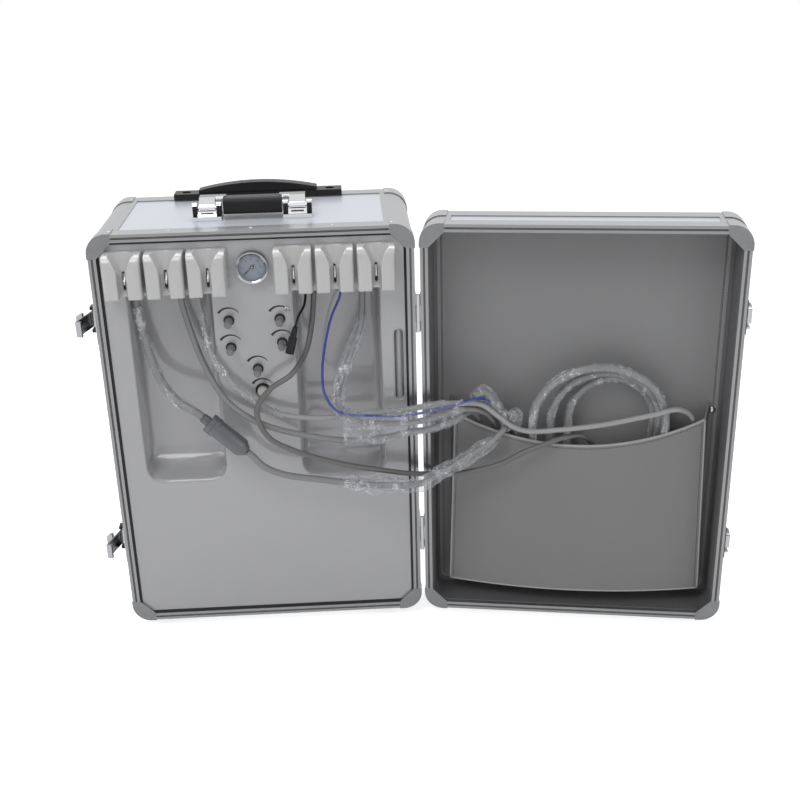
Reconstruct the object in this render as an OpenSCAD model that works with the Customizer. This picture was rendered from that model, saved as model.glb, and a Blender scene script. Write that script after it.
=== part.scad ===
// Portable dental unit built into an upright aluminium case.
// Millimetres. The case body is at the left and its open lid at the right.
// Origin: on the floor, below the middle of the whole outline. +X runs from
// the latches to the lid's free edge, +Y to the back of the case, +Z up.

/* [Case and lid] */
// Width of the case and of the lid
case_w = 400; // [390:1:420]
// Height of the case and of the lid
case_h = 550; // [540:1:580]
// Depth of the case body from the rim to the back
case_d = 200; // [195:1:230]
// Depth of the lid from the rim to the back
lid_d = 68; // [64:1:90]
// Angle by which the open lid stops short of lying in line with the case
lid_tilt = 9.75; // [0:0.25:20]
// Outer radius of the long edges
corner_r = 24; // [20:1:26]
// Thickness of the laminated panels
panel_t = 5; // [4:0.5:6]
// Thickness of the aluminium legs that lie over the panels
leg_t = 1.4; // [1:0.1:2]
// Width of the legs beside the rounded long edges
leg_w = 12; // [8:1:20]

/* [Rim and corner pieces] */
// Width of the rim's front face
rim_w = 10; // [9:0.5:12]
// Depth of the solid part of the rim
rim_d = 7; // [6:0.5:9]
// Depth of the rim's leg over the outer face of the panel
rim_leg = 22; // [18:1:26]
// Gap that the sealing cord fills between the two rims when the lid is shut
rim_gap = 0.4; // [0.2:0.1:1]
// Width of the groove in the rim's face
groove_w = 2.5; // [1.5:0.5:3]
// Depth of the groove in the rim's face
groove_d = 2; // [1:0.5:4]
// Thickness of the pressed corner pieces
cap_t = 1.2; // [0.8:0.1:2]
// Reach of a corner piece along each edge
cap_len = 30; // [28:1:40]
// Depth of a corner piece from the rim or from the back
cap_d = 27; // [24:1:30]
// Radius of a rivet head
rivet_r = 2.3; // [1.5:0.1:3]
// Height of a rivet head
rivet_h = 0.9; // [0.5:0.1:1.5]

/* [Moulded front] */
// Distance of the moulded front behind the rim's face
front_in = 4; // [3:0.5:6]
// Thickness of the moulded front
front_t = 3; // [2:0.5:4]
// Depth of the two hose troughs
trough_d = 45; // [35:1:60]
// Height of the lower lip of the troughs
trough_low = 208; // [195:1:230]

/* [Instrument holders] */
// Height of one holder
holder_h = 55; // [50:1:60]
// Depth of one holder
holder_d = 31; // [28:1:36]
// Width of the slot that a hose passes through
slot_w = 11.6; // [10:0.2:14]
// Radius of the holder's cup at its mouth
cup_r = 15.5; // [13:0.5:17]
// Swing of the lever when an instrument hangs in the cup
lever_swing = 10; // [5:1:11]

/* [Gauge, valves and switch] */
// Outer radius of the gauge's rim
gauge_r = 20.25; // [18:0.25:24]
// Length of the gauge's needle from the spindle to the tip
needle_len = 13.5; // [10:0.5:15]
// Radius of a valve knob
knob_r = 5; // [4:0.5:6]
// Length of a valve knob
knob_len = 23.5; // [18:0.5:30]
// Radius of the power button
button_r = 6.5; // [5:0.5:8]
// Travel of the power button
button_travel = 3; // [2:0.5:4]
// Radius of the water level tube
level_r = 4.5; // [3:0.5:5]

/* [Handles, wheels and feet] */
// Distance of a foot's middle from the side of the case
foot_in = 47; // [46:1:60]
// Height of the rubber feet and of the wheels below the case
foot_h = 12; // [8:1:16]
// Radius of a rubber foot
foot_r = 15; // [12:1:18]
// Radius of a wheel
wheel_r = 25; // [22:1:28]
// Width of a wheel
wheel_w = 20; // [16:1:24]
// Length of the carry handle's grip
grip_len = 74; // [60:1:78]
// Distance between the middles of the two handle brackets
bracket_gap = 114; // [112:1:130]
// Travel of the trolley handle
trolley_travel = 380; // [300:5:400]
// Distance between the two trolley tubes
trolley_gap = 124; // [110:1:130]

/* [Hinges and latches] */
// Distance of the hinge axis from the side of the case
hinge_gap = 3.3; // [3.2:0.1:4]
// Radius of the hinge knuckles
knuckle_r = 2.7; // [2.4:0.1:2.8]
// Height of one hinge
hinge_h = 50; // [40:1:70]
// Angle at which an open latch hook stands off the case
hook_tilt = 16; // [10:1:25]

/* [Suction and hoses] */
// Radius of the suction hose above the strainer
suction_up_r = 5.2; // [4:0.1:6]
// Radius of the suction hose below the strainer
suction_low_r = 4.4; // [3.5:0.1:5]
// Radius of the first instrument hose
hose_a_r = 4; // [3:0.1:4.5]
// Radius of the other two instrument hoses
hose_b_r = 3.5; // [3:0.1:4]
// Radius of the syringe hose
syringe_r = 4; // [3:0.1:4.5]
// Radius of the lamp cable
cable_r = 1.6; // [1.2:0.1:2]
// Radius of the thin blue tube
blue_r = 1.6; // [1.2:0.1:2]
// Radius of the hose that is looped in the pocket
loop_r = 5; // [4:0.1:5.1]
// Radius of the strainer
strainer_r = 12.5; // [10:0.5:13]
// Thickness of the pocket's leatherette
pocket_t = 2; // [1:0.5:3]

/* [Hidden] */
$fn = 48;

// Colours
silver = [0.80, 0.82, 0.85];
satin = [0.66, 0.67, 0.69];
chrome = [0.85, 0.86, 0.88];
white = [0.90, 0.90, 0.90];
hose_grey = [0.45, 0.46, 0.48];
black = [0.08, 0.08, 0.09];
leather = [0.50, 0.50, 0.51];

// Depth from an outer face to the inner face of a panel
wall = leg_t + panel_t;
// Thickness of the rim's inner leg
inner_leg = 1.2;
// Clearance round pieces that sit in an opening
seat_gap = 0.2;
// Clearance round moving pieces
move_gap = 0.5;
// Radial clearance of a pin in its bore
pin_gap = 0.05;

// Reach of the open latches beyond the side of the case
hook_pivot_out = 7.5;
hook_pivot_y = 30;
wing_y = 12;
wing_out = 22;
wing_w = 5;
latch_reach = hook_pivot_out + (wing_out - hook_pivot_out) * cos(hook_tilt)
    + (hook_pivot_y - wing_y + wing_w / 2) * sin(hook_tilt);
// Height of the keepers' rib beyond the lid's edge
keeper_out = 7.6;
keeper_y = 10.3;
// How far the wheels stand out behind the case
wheel_back = 6;

// Place of the hinge axis and of the rim, so that the outline is centred
lid_reach = hinge_gap + case_w;
hinge_x = (lid_reach + latch_reach - (lid_reach + keeper_out) * cos(lid_tilt)
    - keeper_y * sin(lid_tilt)) / 2;
rim_y = ((lid_reach + cap_t) * sin(lid_tilt) - rim_gap - case_d - wheel_back) / 2;

// The places on the front and the cords' routes are given for a case of this
// width and height. On another case they keep their share of the width and
// hang from its top edge.
drawn_size = [400, 550];
spread = case_w / drawn_size.x;
lift = case_h - drawn_size.y;

// Heights of the two hinges and of the two latches
fitting_z = [119, 435 + lift];

// The moulded front's faces
front_y = front_in;
front_back = front_in + front_t;
mid_x = case_w / 2;
control_x = mid_x - 0.5;

// Instrument holders, counted from the latch side
holder_pitch = 51 * spread;
holder_w = holder_pitch - 4;
holder_z = 474 + lift;
left_holder_x = 43 * spread;
right_holder_x = 250 * spread;
holder_xs = [for (i = [0:2]) left_holder_x + i * holder_pitch,
    for (i = [0:2]) right_holder_x + i * holder_pitch];

// Troughs below the two rows of holders, each with its left edge and width
trough_top = holder_z - 4;
trough_back = front_back + trough_d;
troughs = [[40 * spread, 106 * spread], [246 * spread, 110 * spread]];

// Gauge, knobs and switch, as x and z
function front_place(p) = [p.x * spread, p.y + lift];
gauge_at = front_place([199, 503.5]);
needle_turn = 221;
knob_places = [for (k = [[165, 434], [165, 398], [229, 434], [230, 402], [197, 368]]) front_place(k)];
button_at = front_place([201, 338]);
screw_at = front_place([238, 447]);
shaft_r = 2.5;
level_at = front_place([378, 365]);
level_slot_h = 98;
level_tube_h = 130;

// Handles, on top of the case
handle_pin_y = 70;
handle_pin_z = case_h + 13;
grip_d = 26;
grip_h = 21;
bracket_w = 36;
trolley_y = case_d - 15;
trolley_w = 226;
trolley_depth = 24;
trolley_plate_h = 8;
arch_w = 159;
arch_h = 13;
arch_rise = 9;
tube_size = [18, 10];
tube_bottom = 85;
sleeve_wall = 1.2;
sleeve_gap = 0.8;

// Wheel bays in the lower rear corners
bay_w = 42;
bay_d = 52;
bay_h = 46;
wheel_x = 22;
wheel_y = case_d + wheel_back - wheel_r;
wheel_z = wheel_r - foot_h;
axle_r = 4;

// Machinery behind the front, with tanks and bottles of this wall
machine_x = [60, 260];
machine_y = 123;
machine_half_d = 48;
motor_r = 44;
tank_y = 112;
tank_z = 190;
tank_r = 42;
tank_end = 75;
bottle_x = 92;
bottle_y = 108;
bottle_z = 262;
bottle_r = 38;
bottle_h = 150;
vessel_wall = 2;

// Cord routes. A case point is given from the case's lower front corner on
// the latch side, and a lid point from the lid's lower front hinge corner.
// Points above the hanging stretch's foot move with the top of the case.
hang_top = 462;
hang_foot = 330;
gland_z = hang_top + lift;
function laid(route) = [for (p = route)
    [p.x * spread, p.y, p.z + lift * max(0, p.z - hang_foot) / (hang_top - hang_foot)]];

// Strainer between two points, with the hoses' ends in line with it
strainer_ends = laid([[124, -18, 312], [177, -26, 265]]);
strainer_from = strainer_ends[0];
strainer_to = strainer_ends[1];
strainer_lead = (strainer_to - strainer_from) / 8;

suction_up_route = concat(laid([[48, 24, hang_top], [48, 24, 456], [52, 23, 420], [59, 18, 387],
    [72, 8, 353], [90, -6, 333]]), [strainer_from - strainer_lead, strainer_from]);
suction_low_case = concat([strainer_to, strainer_to + strainer_lead], laid([[197, -28, 244],
    [222, -30, 232], [276, -34, 223], [347, -38, 214], [400, -38, 214]]));
suction_low_lid = laid([[16, -27, 218], [37, -18, 228], [62, -9, 242], [88, -1, 257],
    [104, 8, 271], [112, 23, 276], [117, 35, 257], [118, 42, 215], [118, 42, 150], [118, 42, 78]]);
hose_a_case = laid([[105, 25, hang_top], [105, 25, 456], [113, 22, 417], [127, 10, 377], [149, -6, 337],
    [171, -14, 316], [208, -20, 296], [298, -24, 275], [349, -26, 276], [388, -28, 284]]);
hose_a_lid = laid([[12, -26, 287], [36, -16, 292], [56, 4, 297], [67, 24, 291], [73, 36, 268],
    [76, 40, 225], [76, 40, 150], [76, 40, 78]]);
hose_b_case = laid([[127, 25, hang_top], [127, 25, 456], [132, 18, 420], [140, -2, 392], [158, -8, 362],
    [191, -11, 328], [222, -14, 311], [267, -14, 303], [312, -15, 305], [389, -18, 312]]);
hose_b_lid = laid([[12, -15, 315], [43, -9, 316], [75, 3, 311], [98, 8, 293], [118, 8, 278],
    [139, 8, 272], [179, 7, 276], [230, 7, 284], [268, 9, 292], [300, 10, 300],
    [328, 18, 304], [348, 32, 289], [354, 43, 255], [354, 46, 180], [354, 46, 42]]);
hose_c_case = laid([[272, 30, hang_top], [272, 30, 456], [268, 26, 420], [259, 3, 388], [240, -23, 368],
    [212, -26, 350], [194, -27, 322], [206, -36, 290], [240, -37, 268], [300, -36, 246],
    [350, -26, 230], [388, -16, 218]]);
hose_c_lid = laid([[10, -9, 214], [39, -7, 214], [69, -5, 219], [102, -4, 229], [134, -2, 247],
    [160, 2, 257], [184, 9, 264], [208, 21, 262], [226, 31, 240], [235, 34, 200],
    [237, 34, 130], [237, 34, 60]]);
syringe_case = laid([[334, 25, hang_top], [334, 25, 456], [330, 22, 415], [315, 12, 378], [301, -4, 346],
    [299, -22, 322], [318, -30, 307], [344, -31, 300], [388, -32, 299]]);
syringe_lid = laid([[12, -25, 301], [40, -14, 307], [66, 5, 303], [86, 22, 288], [95, 34, 262],
    [98, 40, 220], [98, 40, 150], [98, 40, 78]]);
plug_ends = laid([[249, -22, 431], [240, -27, 398]]);
plug_lead = (plug_ends[1] - plug_ends[0]) / 7;
cable_route = concat(laid([[262, 18, hang_top], [262, 18, 457], [260, 6, 449], [254, -12, 443]]),
    [plug_ends[0] - plug_lead, plug_ends[0]]);
blue_case = laid([[306, 20, hang_top], [306, 20, 457], [293, 12, 429], [284, 6, 395], [279, 0, 364],
    [281, -16, 336], [298, -36, 320], [345, -41, 314], [388, -40, 313]]);
blue_lid = laid([[12, -33, 315], [43, -21, 319], [70, -5, 322], [86, 13, 312], [96, 29, 290],
    [107, 46, 250], [107, 51, 200], [107, 51, 60]]);

// Loops in the pocket: three turns that shrink and step back
loop_turns = 3;
loop_rings = 24;
loop_pitch = 10.8;
loop_start = [229 * spread, 18.6, 285];
loop_drift = [8, -3];
loop_a = [91 * spread, -15];
loop_up = [78, -8];

// Pocket in the lid
pocket_x = [32, case_w - 26];
pocket_low = 31;
pocket_high = 300;
pocket_dip = 48;
pocket_corner_y = 30;
pocket_bow = 20;
pocket_floor = pocket_low + pocket_t;

// ---------------------------------------------------------------- frames

// Children drawn from the case's lower front corner on the latch side
module in_case() {
    translate([hinge_x - hinge_gap - case_w, rim_y, foot_h]) children();
}

// Children drawn from the lid's lower front corner at the hinge
module in_lid() {
    translate([hinge_x, rim_y, foot_h])
        rotate([0, 0, -lid_tilt])
            translate([hinge_gap, 0, 0]) children();
}

function case_point(p) = p + [hinge_x - hinge_gap - case_w, rim_y, foot_h];
function lid_point(p) = [hinge_x + (hinge_gap + p.x) * cos(lid_tilt) + p.y * sin(lid_tilt),
    rim_y - (hinge_gap + p.x) * sin(lid_tilt) + p.y * cos(lid_tilt), foot_h + p.z];
function case_points(list) = [for (p = list) case_point(p)];
function lid_points(list) = [for (p = list) lid_point(p)];

// A flat shape in x and z, given depth from y0 to y1
module along_y(y0, y1) {
    translate([0, y1, 0]) rotate([90, 0, 0]) linear_extrude(y1 - y0) children();
}

// A flat shape in y and z, given width from x0 to x1
module along_x(x0, x1) {
    translate([x0, 0, 0]) rotate([90, 0, 90]) linear_extrude(x1 - x0) children();
}

// A block between two opposite corners
module block(low, high) {
    translate(low) cube(high - low);
}

// A round bar along y
module bar_y(x, z, r, y0, y1) {
    translate([x, y1, z]) rotate([90, 0, 0]) cylinder(h = y1 - y0, r = r);
}

// A round bar along x
module bar_x(y, z, r, x0, x1) {
    translate([x0, y, z]) rotate([0, 90, 0]) cylinder(h = x1 - x0, r = r);
}

// A turned piece from one point to another, from its profile in radius and length
module turned(p, q, profile) {
    d = q - p;
    translate(p) rotate([0, acos(d.z / norm(d)), atan2(d.y, d.x)]) rotate_extrude() polygon(profile);
}

// A rounded rectangle, drawn in by a step from the case's outline
module outline(inset) {
    r = corner_r - inset;
    translate([corner_r, inset]) square([case_w - 2 * corner_r, case_h - 2 * inset]);
    translate([inset, corner_r]) square([case_w - 2 * inset, case_h - 2 * corner_r]);
    for (x = [corner_r, case_w - corner_r], z = [corner_r, case_h - corner_r])
        translate([x, z]) circle(r = r);
}

// Children drawn at the lower left corner, repeated at the corners asked for
module at_corners(rights = [0, 1], tops = [0, 1]) {
    for (right = rights, top = tops)
        translate([right * case_w, 0, top * case_h])
            mirror([right, 0, 0]) mirror([0, 0, top]) children();
}

// The lower left corner's band, from grow outside the outline, width deep
module corner_band(grow, width, reach) {
    difference() {
        union() {
            intersection() {
                translate([corner_r, corner_r]) circle(r = corner_r + grow);
                translate([-grow, -grow]) square(corner_r + grow);
            }
            translate([corner_r, -grow]) square([reach - corner_r, width]);
            translate([-grow, corner_r]) square([width, reach - corner_r]);
        }
        intersection() {
            translate([corner_r, corner_r]) circle(r = corner_r + grow - width);
            translate([-grow, -grow]) square(corner_r + grow);
        }
    }
}

// ---------------------------------------------------------------- box parts

// Four side panels and a back panel
module box_panels(depth) {
    side_y = [rim_d, depth - leg_t];
    for (z = [leg_t, case_h - wall])
        block([corner_r, side_y[0], z], [case_w - corner_r, side_y[1], z + panel_t]);
    for (x = [leg_t, case_w - wall])
        block([x, side_y[0], corner_r], [x + panel_t, side_y[1], case_h - corner_r]);
    along_y(depth - wall, depth - leg_t) outline(wall + seat_gap);
}

// Straight lengths along the four sides, from a profile in inset and depth
module straight_sides(reach) {
    along_x(reach, case_w - reach) rotate(90) mirror([0, 1]) children();
    translate([0, 0, case_h]) mirror([0, 0, 1])
        along_x(reach, case_w - reach) rotate(90) mirror([0, 1]) children();
    translate([0, 0, reach]) linear_extrude(case_h - 2 * reach) children();
    translate([case_w, 0, reach]) mirror([1, 0, 0])
        linear_extrude(case_h - 2 * reach) children();
}

// Rim profile: grooved face, outer leg and inner leg
module rim_profile(start) {
    difference() {
        translate([0, start]) square([rim_w, rim_d - start]);
        translate([rim_w / 2 - groove_w / 2, start]) square([groove_w, groove_d]);
    }
    translate([0, rim_d]) square([leg_t, rim_leg - rim_d]);
    translate([wall, rim_d]) square([inner_leg, rim_leg - rim_d - 4]);
}

// Angle that holds the back panel to the sides
module back_profile(depth) {
    translate([0, depth - rim_leg]) square([leg_t, rim_leg]);
    translate([0, depth - leg_t]) square([rim_leg, leg_t]);
}

// Rounded profiles on the long edges
module edge_profiles(depth) {
    at_corners() {
        along_y(rim_d, depth - leg_t) intersection() {
            corner_band(-leg_t, panel_t, corner_r + 1);
            square(corner_r);
        }
        along_y(rim_leg + seat_gap, depth - rim_leg - seat_gap)
            corner_band(0, leg_t, corner_r + leg_w);
    }
}

// Frame of straight extrusions, start being the rim's own clearance
module box_frame(depth, start) {
    straight_sides(cap_len) rim_profile(start);
    straight_sides(cap_len) back_profile(depth);
    edge_profiles(depth);
}

// Corner piece at the rim, lower left
module rim_cap(start) {
    along_y(start, cap_d) corner_band(cap_t, cap_t, cap_len);
    along_y(start, rim_d) corner_band(0, rim_w, cap_len);
    along_y(rim_d, rim_leg) corner_band(0, leg_t, cap_len);
    along_y(start, start + cap_t)
        polygon([[rim_w, rim_w], [cap_len, rim_w], [rim_w, cap_len]]);
}

// Corner piece at the back, lower left
module back_cap(depth) {
    along_y(depth - cap_d, depth + cap_t) corner_band(cap_t, cap_t, cap_len);
    along_y(depth - rim_leg, depth - leg_t) corner_band(0, leg_t, cap_len);
    along_y(depth - leg_t, depth + cap_t) corner_band(0, rim_leg, cap_len);
}

// Rivet heads along the rim's or the back's legs, those above or below at the levels
module side_rivets(y, levels) {
    for (k = [0.25, 0.5, 0.75]) {
        for (z = levels) translate([k * case_w, y, z]) cylinder(h = rivet_h, r = rivet_r);
        bar_x(y, k * case_h, rivet_r, -rivet_h, 0);
        bar_x(y, k * case_h, rivet_r, case_w, case_w + rivet_h);
    }
}

// Rivet heads on the corner pieces, at the lower left
module cap_rivets(y) {
    across = (corner_r + cap_len) / 2;
    translate([across, y, -cap_t - rivet_h]) cylinder(h = rivet_h, r = rivet_r);
    bar_x(y, across, rivet_r, -cap_t - rivet_h, -cap_t);
}

// ---------------------------------------------------------------- case

// Ways of the trolley tubes through the top of the case
module trolley_ways() {
    for (side = [-1, 1])
        translate([control_x + side * trolley_gap / 2, trolley_y, case_h])
            cube([tube_size.x + 2 * move_gap, tube_size.y + 2 * move_gap, 60], center = true);
}

// The lower rear corners that the wheel housings take up
module wheel_bays() {
    for (x = [-1, case_w - bay_w])
        block([x, case_d - bay_d, -1], [x + bay_w + 1, case_d + 1, bay_h]);
}

// Mains inlet, as x and z, and its hole
inlet_at = [control_x - trolley_gap / 2 - 45.5, 110];
inlet_size = [50, 28];
inlet_hole = [44, 22];

module inlet_way() {
    along_y(case_d - wall - 1, case_d)
        translate(inlet_at) square(inlet_hole + 2 * [seat_gap, seat_gap], center = true);
}

// Air vents in the back: middle, one slot's size and the step between slots
vent_at = [control_x + trolley_gap / 2 + 46.5, 110];
vent_slots = 9;
vent_slot = [80, 4];
vent_step = 10;

module vents() {
    for (i = [0:vent_slots - 1])
        translate([vent_at.x - vent_slot.x / 2, case_d - wall - 1,
            vent_at.y + (i - vent_slots / 2 + 0.5) * vent_step])
            cube([vent_slot.x, panel_t + 2, vent_slot.y]);
}

module case_panels() color(silver) in_case() difference() {
    box_panels(case_d);
    trolley_ways();
    wheel_bays();
    inlet_way();
    vents();
}

module case_frame() color(satin) in_case() difference() {
    union() {
        box_frame(case_d, 0);
        // Ledge that the moulded front is screwed to
        ledge = wall + inner_leg;
        for (z = [ledge, case_h - rim_w - 4])
            block([corner_r, rim_d, z], [case_w - corner_r, rim_d + 12, z + rim_w + 4 - ledge]);
        for (x = [ledge, case_w - rim_w - 4])
            block([x, rim_d, corner_r], [x + rim_w + 4 - ledge, rim_d + 12, case_h - corner_r]);
    }
    trolley_ways();
    wheel_bays();
}

module case_corner_caps() color(chrome) in_case() {
    at_corners() rim_cap(0);
    at_corners(tops = [1]) back_cap(case_d);
}

module case_rivets() color(chrome) in_case() {
    difference() {
        union() {
            side_rivets(14, [-rivet_h, case_h]);
            side_rivets(case_d - 12, [-rivet_h]);
        }
        for (z = fitting_z) block([-2, 0, z - 30], [case_w + 3, 45, z + 30]);
    }
    at_corners() cap_rivets(14);
    at_corners(tops = [1]) cap_rivets(case_d - 14);
}

module rubber_feet() color(black) in_case() {
    for (x = [foot_in, case_w - foot_in])
        translate([x, 32, -foot_h]) {
            cylinder(h = foot_h / 2, r1 = foot_r - 2, r2 = foot_r);
            translate([0, 0, foot_h / 2]) cylinder(h = foot_h / 2, r = foot_r);
        }
}

// ---------------------------------------------------------------- front

// Side view of a trough from a front plane: upright back and a bowl at its foot
module trough_side(from, grow) {
    bowl_r = trough_d - front_t;
    bowl_z = trough_low + bowl_r;
    translate([from, bowl_z])
        square([front_y + trough_d + grow - from, trough_top + grow - bowl_z]);
    translate([from, trough_low - grow]) square([front_back - from, bowl_r + grow]);
    intersection() {
        translate([front_back, bowl_z]) circle(r = bowl_r + grow);
        translate([front_back, trough_low - grow]) square(bowl_r + grow);
    }
}

// Small collar that a hose leaves through
module gland(at, r) {
    translate([at.x, at.y, gland_z]) cylinder(h = trough_top - gland_z + 1, r = r + 2.5);
}

module front_panel() color(white) in_case() {
    edge = rim_w + seat_gap + 0.6;
    difference() {
        union() {
            along_y(front_y, front_back) outline(edge);
            for (t = troughs)
                along_x(t[0] - front_t, t[0] + t[1] + front_t) trough_side(front_y, front_t);
        }
        for (t = troughs) along_x(t[0], t[0] + t[1]) trough_side(front_y - 1, 0);
        bar_y(gauge_at.x, gauge_at.y, gauge_r - 2, 0, 20);
        for (k = knob_places) bar_y(k.x, k.y, knob_r + 1, 0, 20);
        bar_y(button_at.x, button_at.y, button_r + move_gap, 0, 20);
        along_y(0, 20) for (s = [-1, 1])
            translate([level_at.x, level_at.y + s * level_slot_h / 2 - s * (level_r + 1.5)])
                circle(r = level_r + 1.5);
        block([level_at.x - level_r - 1.5, 0, level_at.y - level_slot_h / 2 + level_r + 1.5],
            [level_at.x + level_r + 1.5, 20, level_at.y + level_slot_h / 2 - level_r - 1.5]);
    }
    gland(suction_up_route[0], suction_up_r);
    gland(hose_a_case[0], hose_a_r);
    gland(hose_b_case[0], hose_b_r);
    gland(hose_c_case[0], hose_b_r);
    gland(syringe_case[0], syringe_r);
    gland(cable_route[0], cable_r);
    gland(blue_case[0], blue_r);
}

// Lever pivot inside a holder, as y and z from its lower back edge
lever_pin = [-6, 28];
lever_pin_r = 1;
cup_y = -19;
neck_z = 36;

// One holder, from the middle of its lower back edge
module holder() {
    difference() {
        intersection() {
            along_x(-holder_w / 2, holder_w / 2)
                polygon([[0, 0], [-holder_d + 1.5, 0], [-holder_d, 3], [-holder_d, holder_h - 15],
                    [-holder_d + 2, holder_h - 7], [-holder_d + 5, holder_h - 2.5],
                    [-holder_d + 10, holder_h], [0, holder_h]]);
            linear_extrude(holder_h)
                polygon([[-holder_w / 2, 1], [-holder_w / 2, -holder_d + 5],
                    [-holder_w / 2 + 1.5, -holder_d + 1.5], [-holder_w / 2 + 5, -holder_d],
                    [holder_w / 2 - 5, -holder_d], [holder_w / 2 - 1.5, -holder_d + 1.5],
                    [holder_w / 2, -holder_d + 5], [holder_w / 2, 1]]);
        }
        translate([0, cup_y, neck_z - 8])
            cylinder(h = holder_h - neck_z + 8.01, r1 = slot_w / 2, r2 = cup_r);
        translate([0, cup_y, -1]) cylinder(h = holder_h, r = slot_w / 2);
        along_y(-holder_d - 1, cup_y)
            polygon([[-slot_w / 2, -1], [slot_w / 2, -1], [slot_w / 2, neck_z],
                [cup_r - 2, holder_h + 0.01], [2 - cup_r, holder_h + 0.01], [-slot_w / 2, neck_z]]);
        block([-1.6, cup_y, 8], [1.6, -1.2, 32]);
        bar_x(lever_pin.x, lever_pin.y, lever_pin_r + pin_gap, -4, 4);
    }
}

module holder_group(first) color(white) in_case()
    for (i = [0:2]) translate([holder_xs[first + i], front_y, holder_z]) holder();

module left_holders() holder_group(0);
module right_holders() holder_group(3);

// Lever that an instrument presses back when it hangs in the cup
module holder_lever(i) color(chrome) in_case()
    translate([holder_xs[i], front_y, holder_z]) {
        along_x(-1, 1) polygon([[-7.2, 10], [-4.8, 10], [-4.6, 28], [-6, 29.4], [-7.4, 28],
            [-8.2, 24], [-12.4, 19], [-12.4, 15]]);
        bar_x(lever_pin.x, lever_pin.y, lever_pin_r, -3.6, 3.6);
    }

module gauge_case() color(chrome) in_case() {
    difference() {
        union() {
            bar_y(gauge_at.x, gauge_at.y, gauge_r, -5, front_y);
            bar_y(gauge_at.x, gauge_at.y, gauge_r - 2 - seat_gap, front_y, 34);
            bar_y(gauge_at.x, gauge_at.y, 6, 34, 46);
        }
        bar_y(gauge_at.x, gauge_at.y, gauge_r - 2, -6, 0.5);
    }
    bar_y(gauge_at.x, gauge_at.y, 0.8, -2.6, 0.6);
}

module gauge_lens() color([0.8, 0.9, 1, 0.4]) in_case()
    bar_y(gauge_at.x, gauge_at.y, gauge_r - 2 - seat_gap / 2, -4.6, -3.4);

module gauge_needle() color(black) in_case()
    translate([gauge_at.x, -1.6, gauge_at.y]) difference() {
        union() {
            rotate([90, 0, 0]) cylinder(h = 1.2, r = 2.2, center = true);
            rotate([0, -needle_turn, 0]) block([-5, -0.4, -0.55], [needle_len, 0.4, 0.55]);
        }
        rotate([90, 0, 0]) cylinder(h = 3, r = 0.8 + pin_gap, center = true);
    }

// Valves behind the controls, with a shaft for each knob
module valve_block() color(satin) in_case() {
    margin = knob_r + 5;
    depth = 27;
    block([knob_places[0].x - margin, front_back, knob_places[4].y - margin],
        [knob_places[3].x + margin, front_back + depth, knob_places[0].y + margin + 2]);
    for (k = knob_places) bar_y(k.x, k.y, shaft_r, -knob_len / 2 + 4, front_back + 3);
    for (x = holder_xs)
        block([x - 14, front_back, holder_z + 6], [x + 14, front_back + depth - 1, holder_z + 46]);
    bar_y(screw_at.x, screw_at.y, 3, front_y - 1.6, front_y);
}

module knob(i) color(hose_grey) in_case() difference() {
    k = knob_places[i];
    bar_y(k.x, k.y, knob_r, front_back - 0.5 - knob_len, front_back - 0.5);
    bar_y(k.x, k.y, shaft_r + pin_gap, -knob_len / 2 + 3.6, front_back);
}

// Power switch behind the button, and the mains inlet on the back
module mains_fittings() color(black) in_case() {
    bar_y(button_at.x, button_at.y, button_r + 3, front_back + 4, 34);
    difference() {
        bar_y(button_at.x, button_at.y, button_r + 3, front_y - 2.2, front_y);
        bar_y(button_at.x, button_at.y, button_r + move_gap, front_y - 3, front_y + 1);
    }
    difference() {
        bar_y(button_at.x, button_at.y, button_r + 3, front_back, front_back + 4);
        bar_y(button_at.x, button_at.y, button_r + move_gap, front_back - 1, front_back + 4);
    }
    face = case_d - leg_t;
    difference() {
        union() {
            along_y(face - 24, face) translate(inlet_at) square(inlet_hole, center = true);
            along_y(face, face + 3) translate(inlet_at) square(inlet_size, center = true);
        }
        along_y(face - 18, face + 4) translate(inlet_at) square([25, 17], center = true);
    }
    for (pin = [[-7, -2], [0, 3], [7, -2]])
        along_y(face - 19, face - 5) translate(inlet_at + pin) square([2, 4], center = true);
}

module power_button() color([0.75, 0.74, 0.72]) in_case()
    bar_y(button_at.x, button_at.y, button_r, front_y - 8, front_back + 0.6);

module level_tube() color([0.8, 0.85, 0.85, 0.5]) in_case()
    translate([level_at.x, front_back + 0.3 + level_r, level_at.y - level_tube_h / 2]) difference() {
        cylinder(h = level_tube_h, r = level_r);
        translate([0, 0, -1]) cylinder(h = level_tube_h + 2, r = level_r - 1);
    }

// ---------------------------------------------------------------- inside

// Twin-head compressor on four rubber mounts
module compressor() color([0.35, 0.36, 0.38]) in_case() {
    mount_h = 12;
    plate_t = 4;
    head = [35, 56, 96];
    base_z = wall + mount_h + plate_t;
    for (x = machine_x + [15, -15], y = [-1, 1] * (machine_half_d - 8))
        translate([x, machine_y + y, wall]) cylinder(h = mount_h, r = 8);
    block([machine_x[0], machine_y - machine_half_d, wall + mount_h],
        [machine_x[1], machine_y + machine_half_d, base_z]);
    bar_x(machine_y, base_z + motor_r + 2, motor_r, machine_x[0] + 45, machine_x[1] - 45);
    for (x = machine_x + [10, -10 - head.x])
        translate([x, machine_y - head.y / 2, base_z]) cube(head);
}

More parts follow.
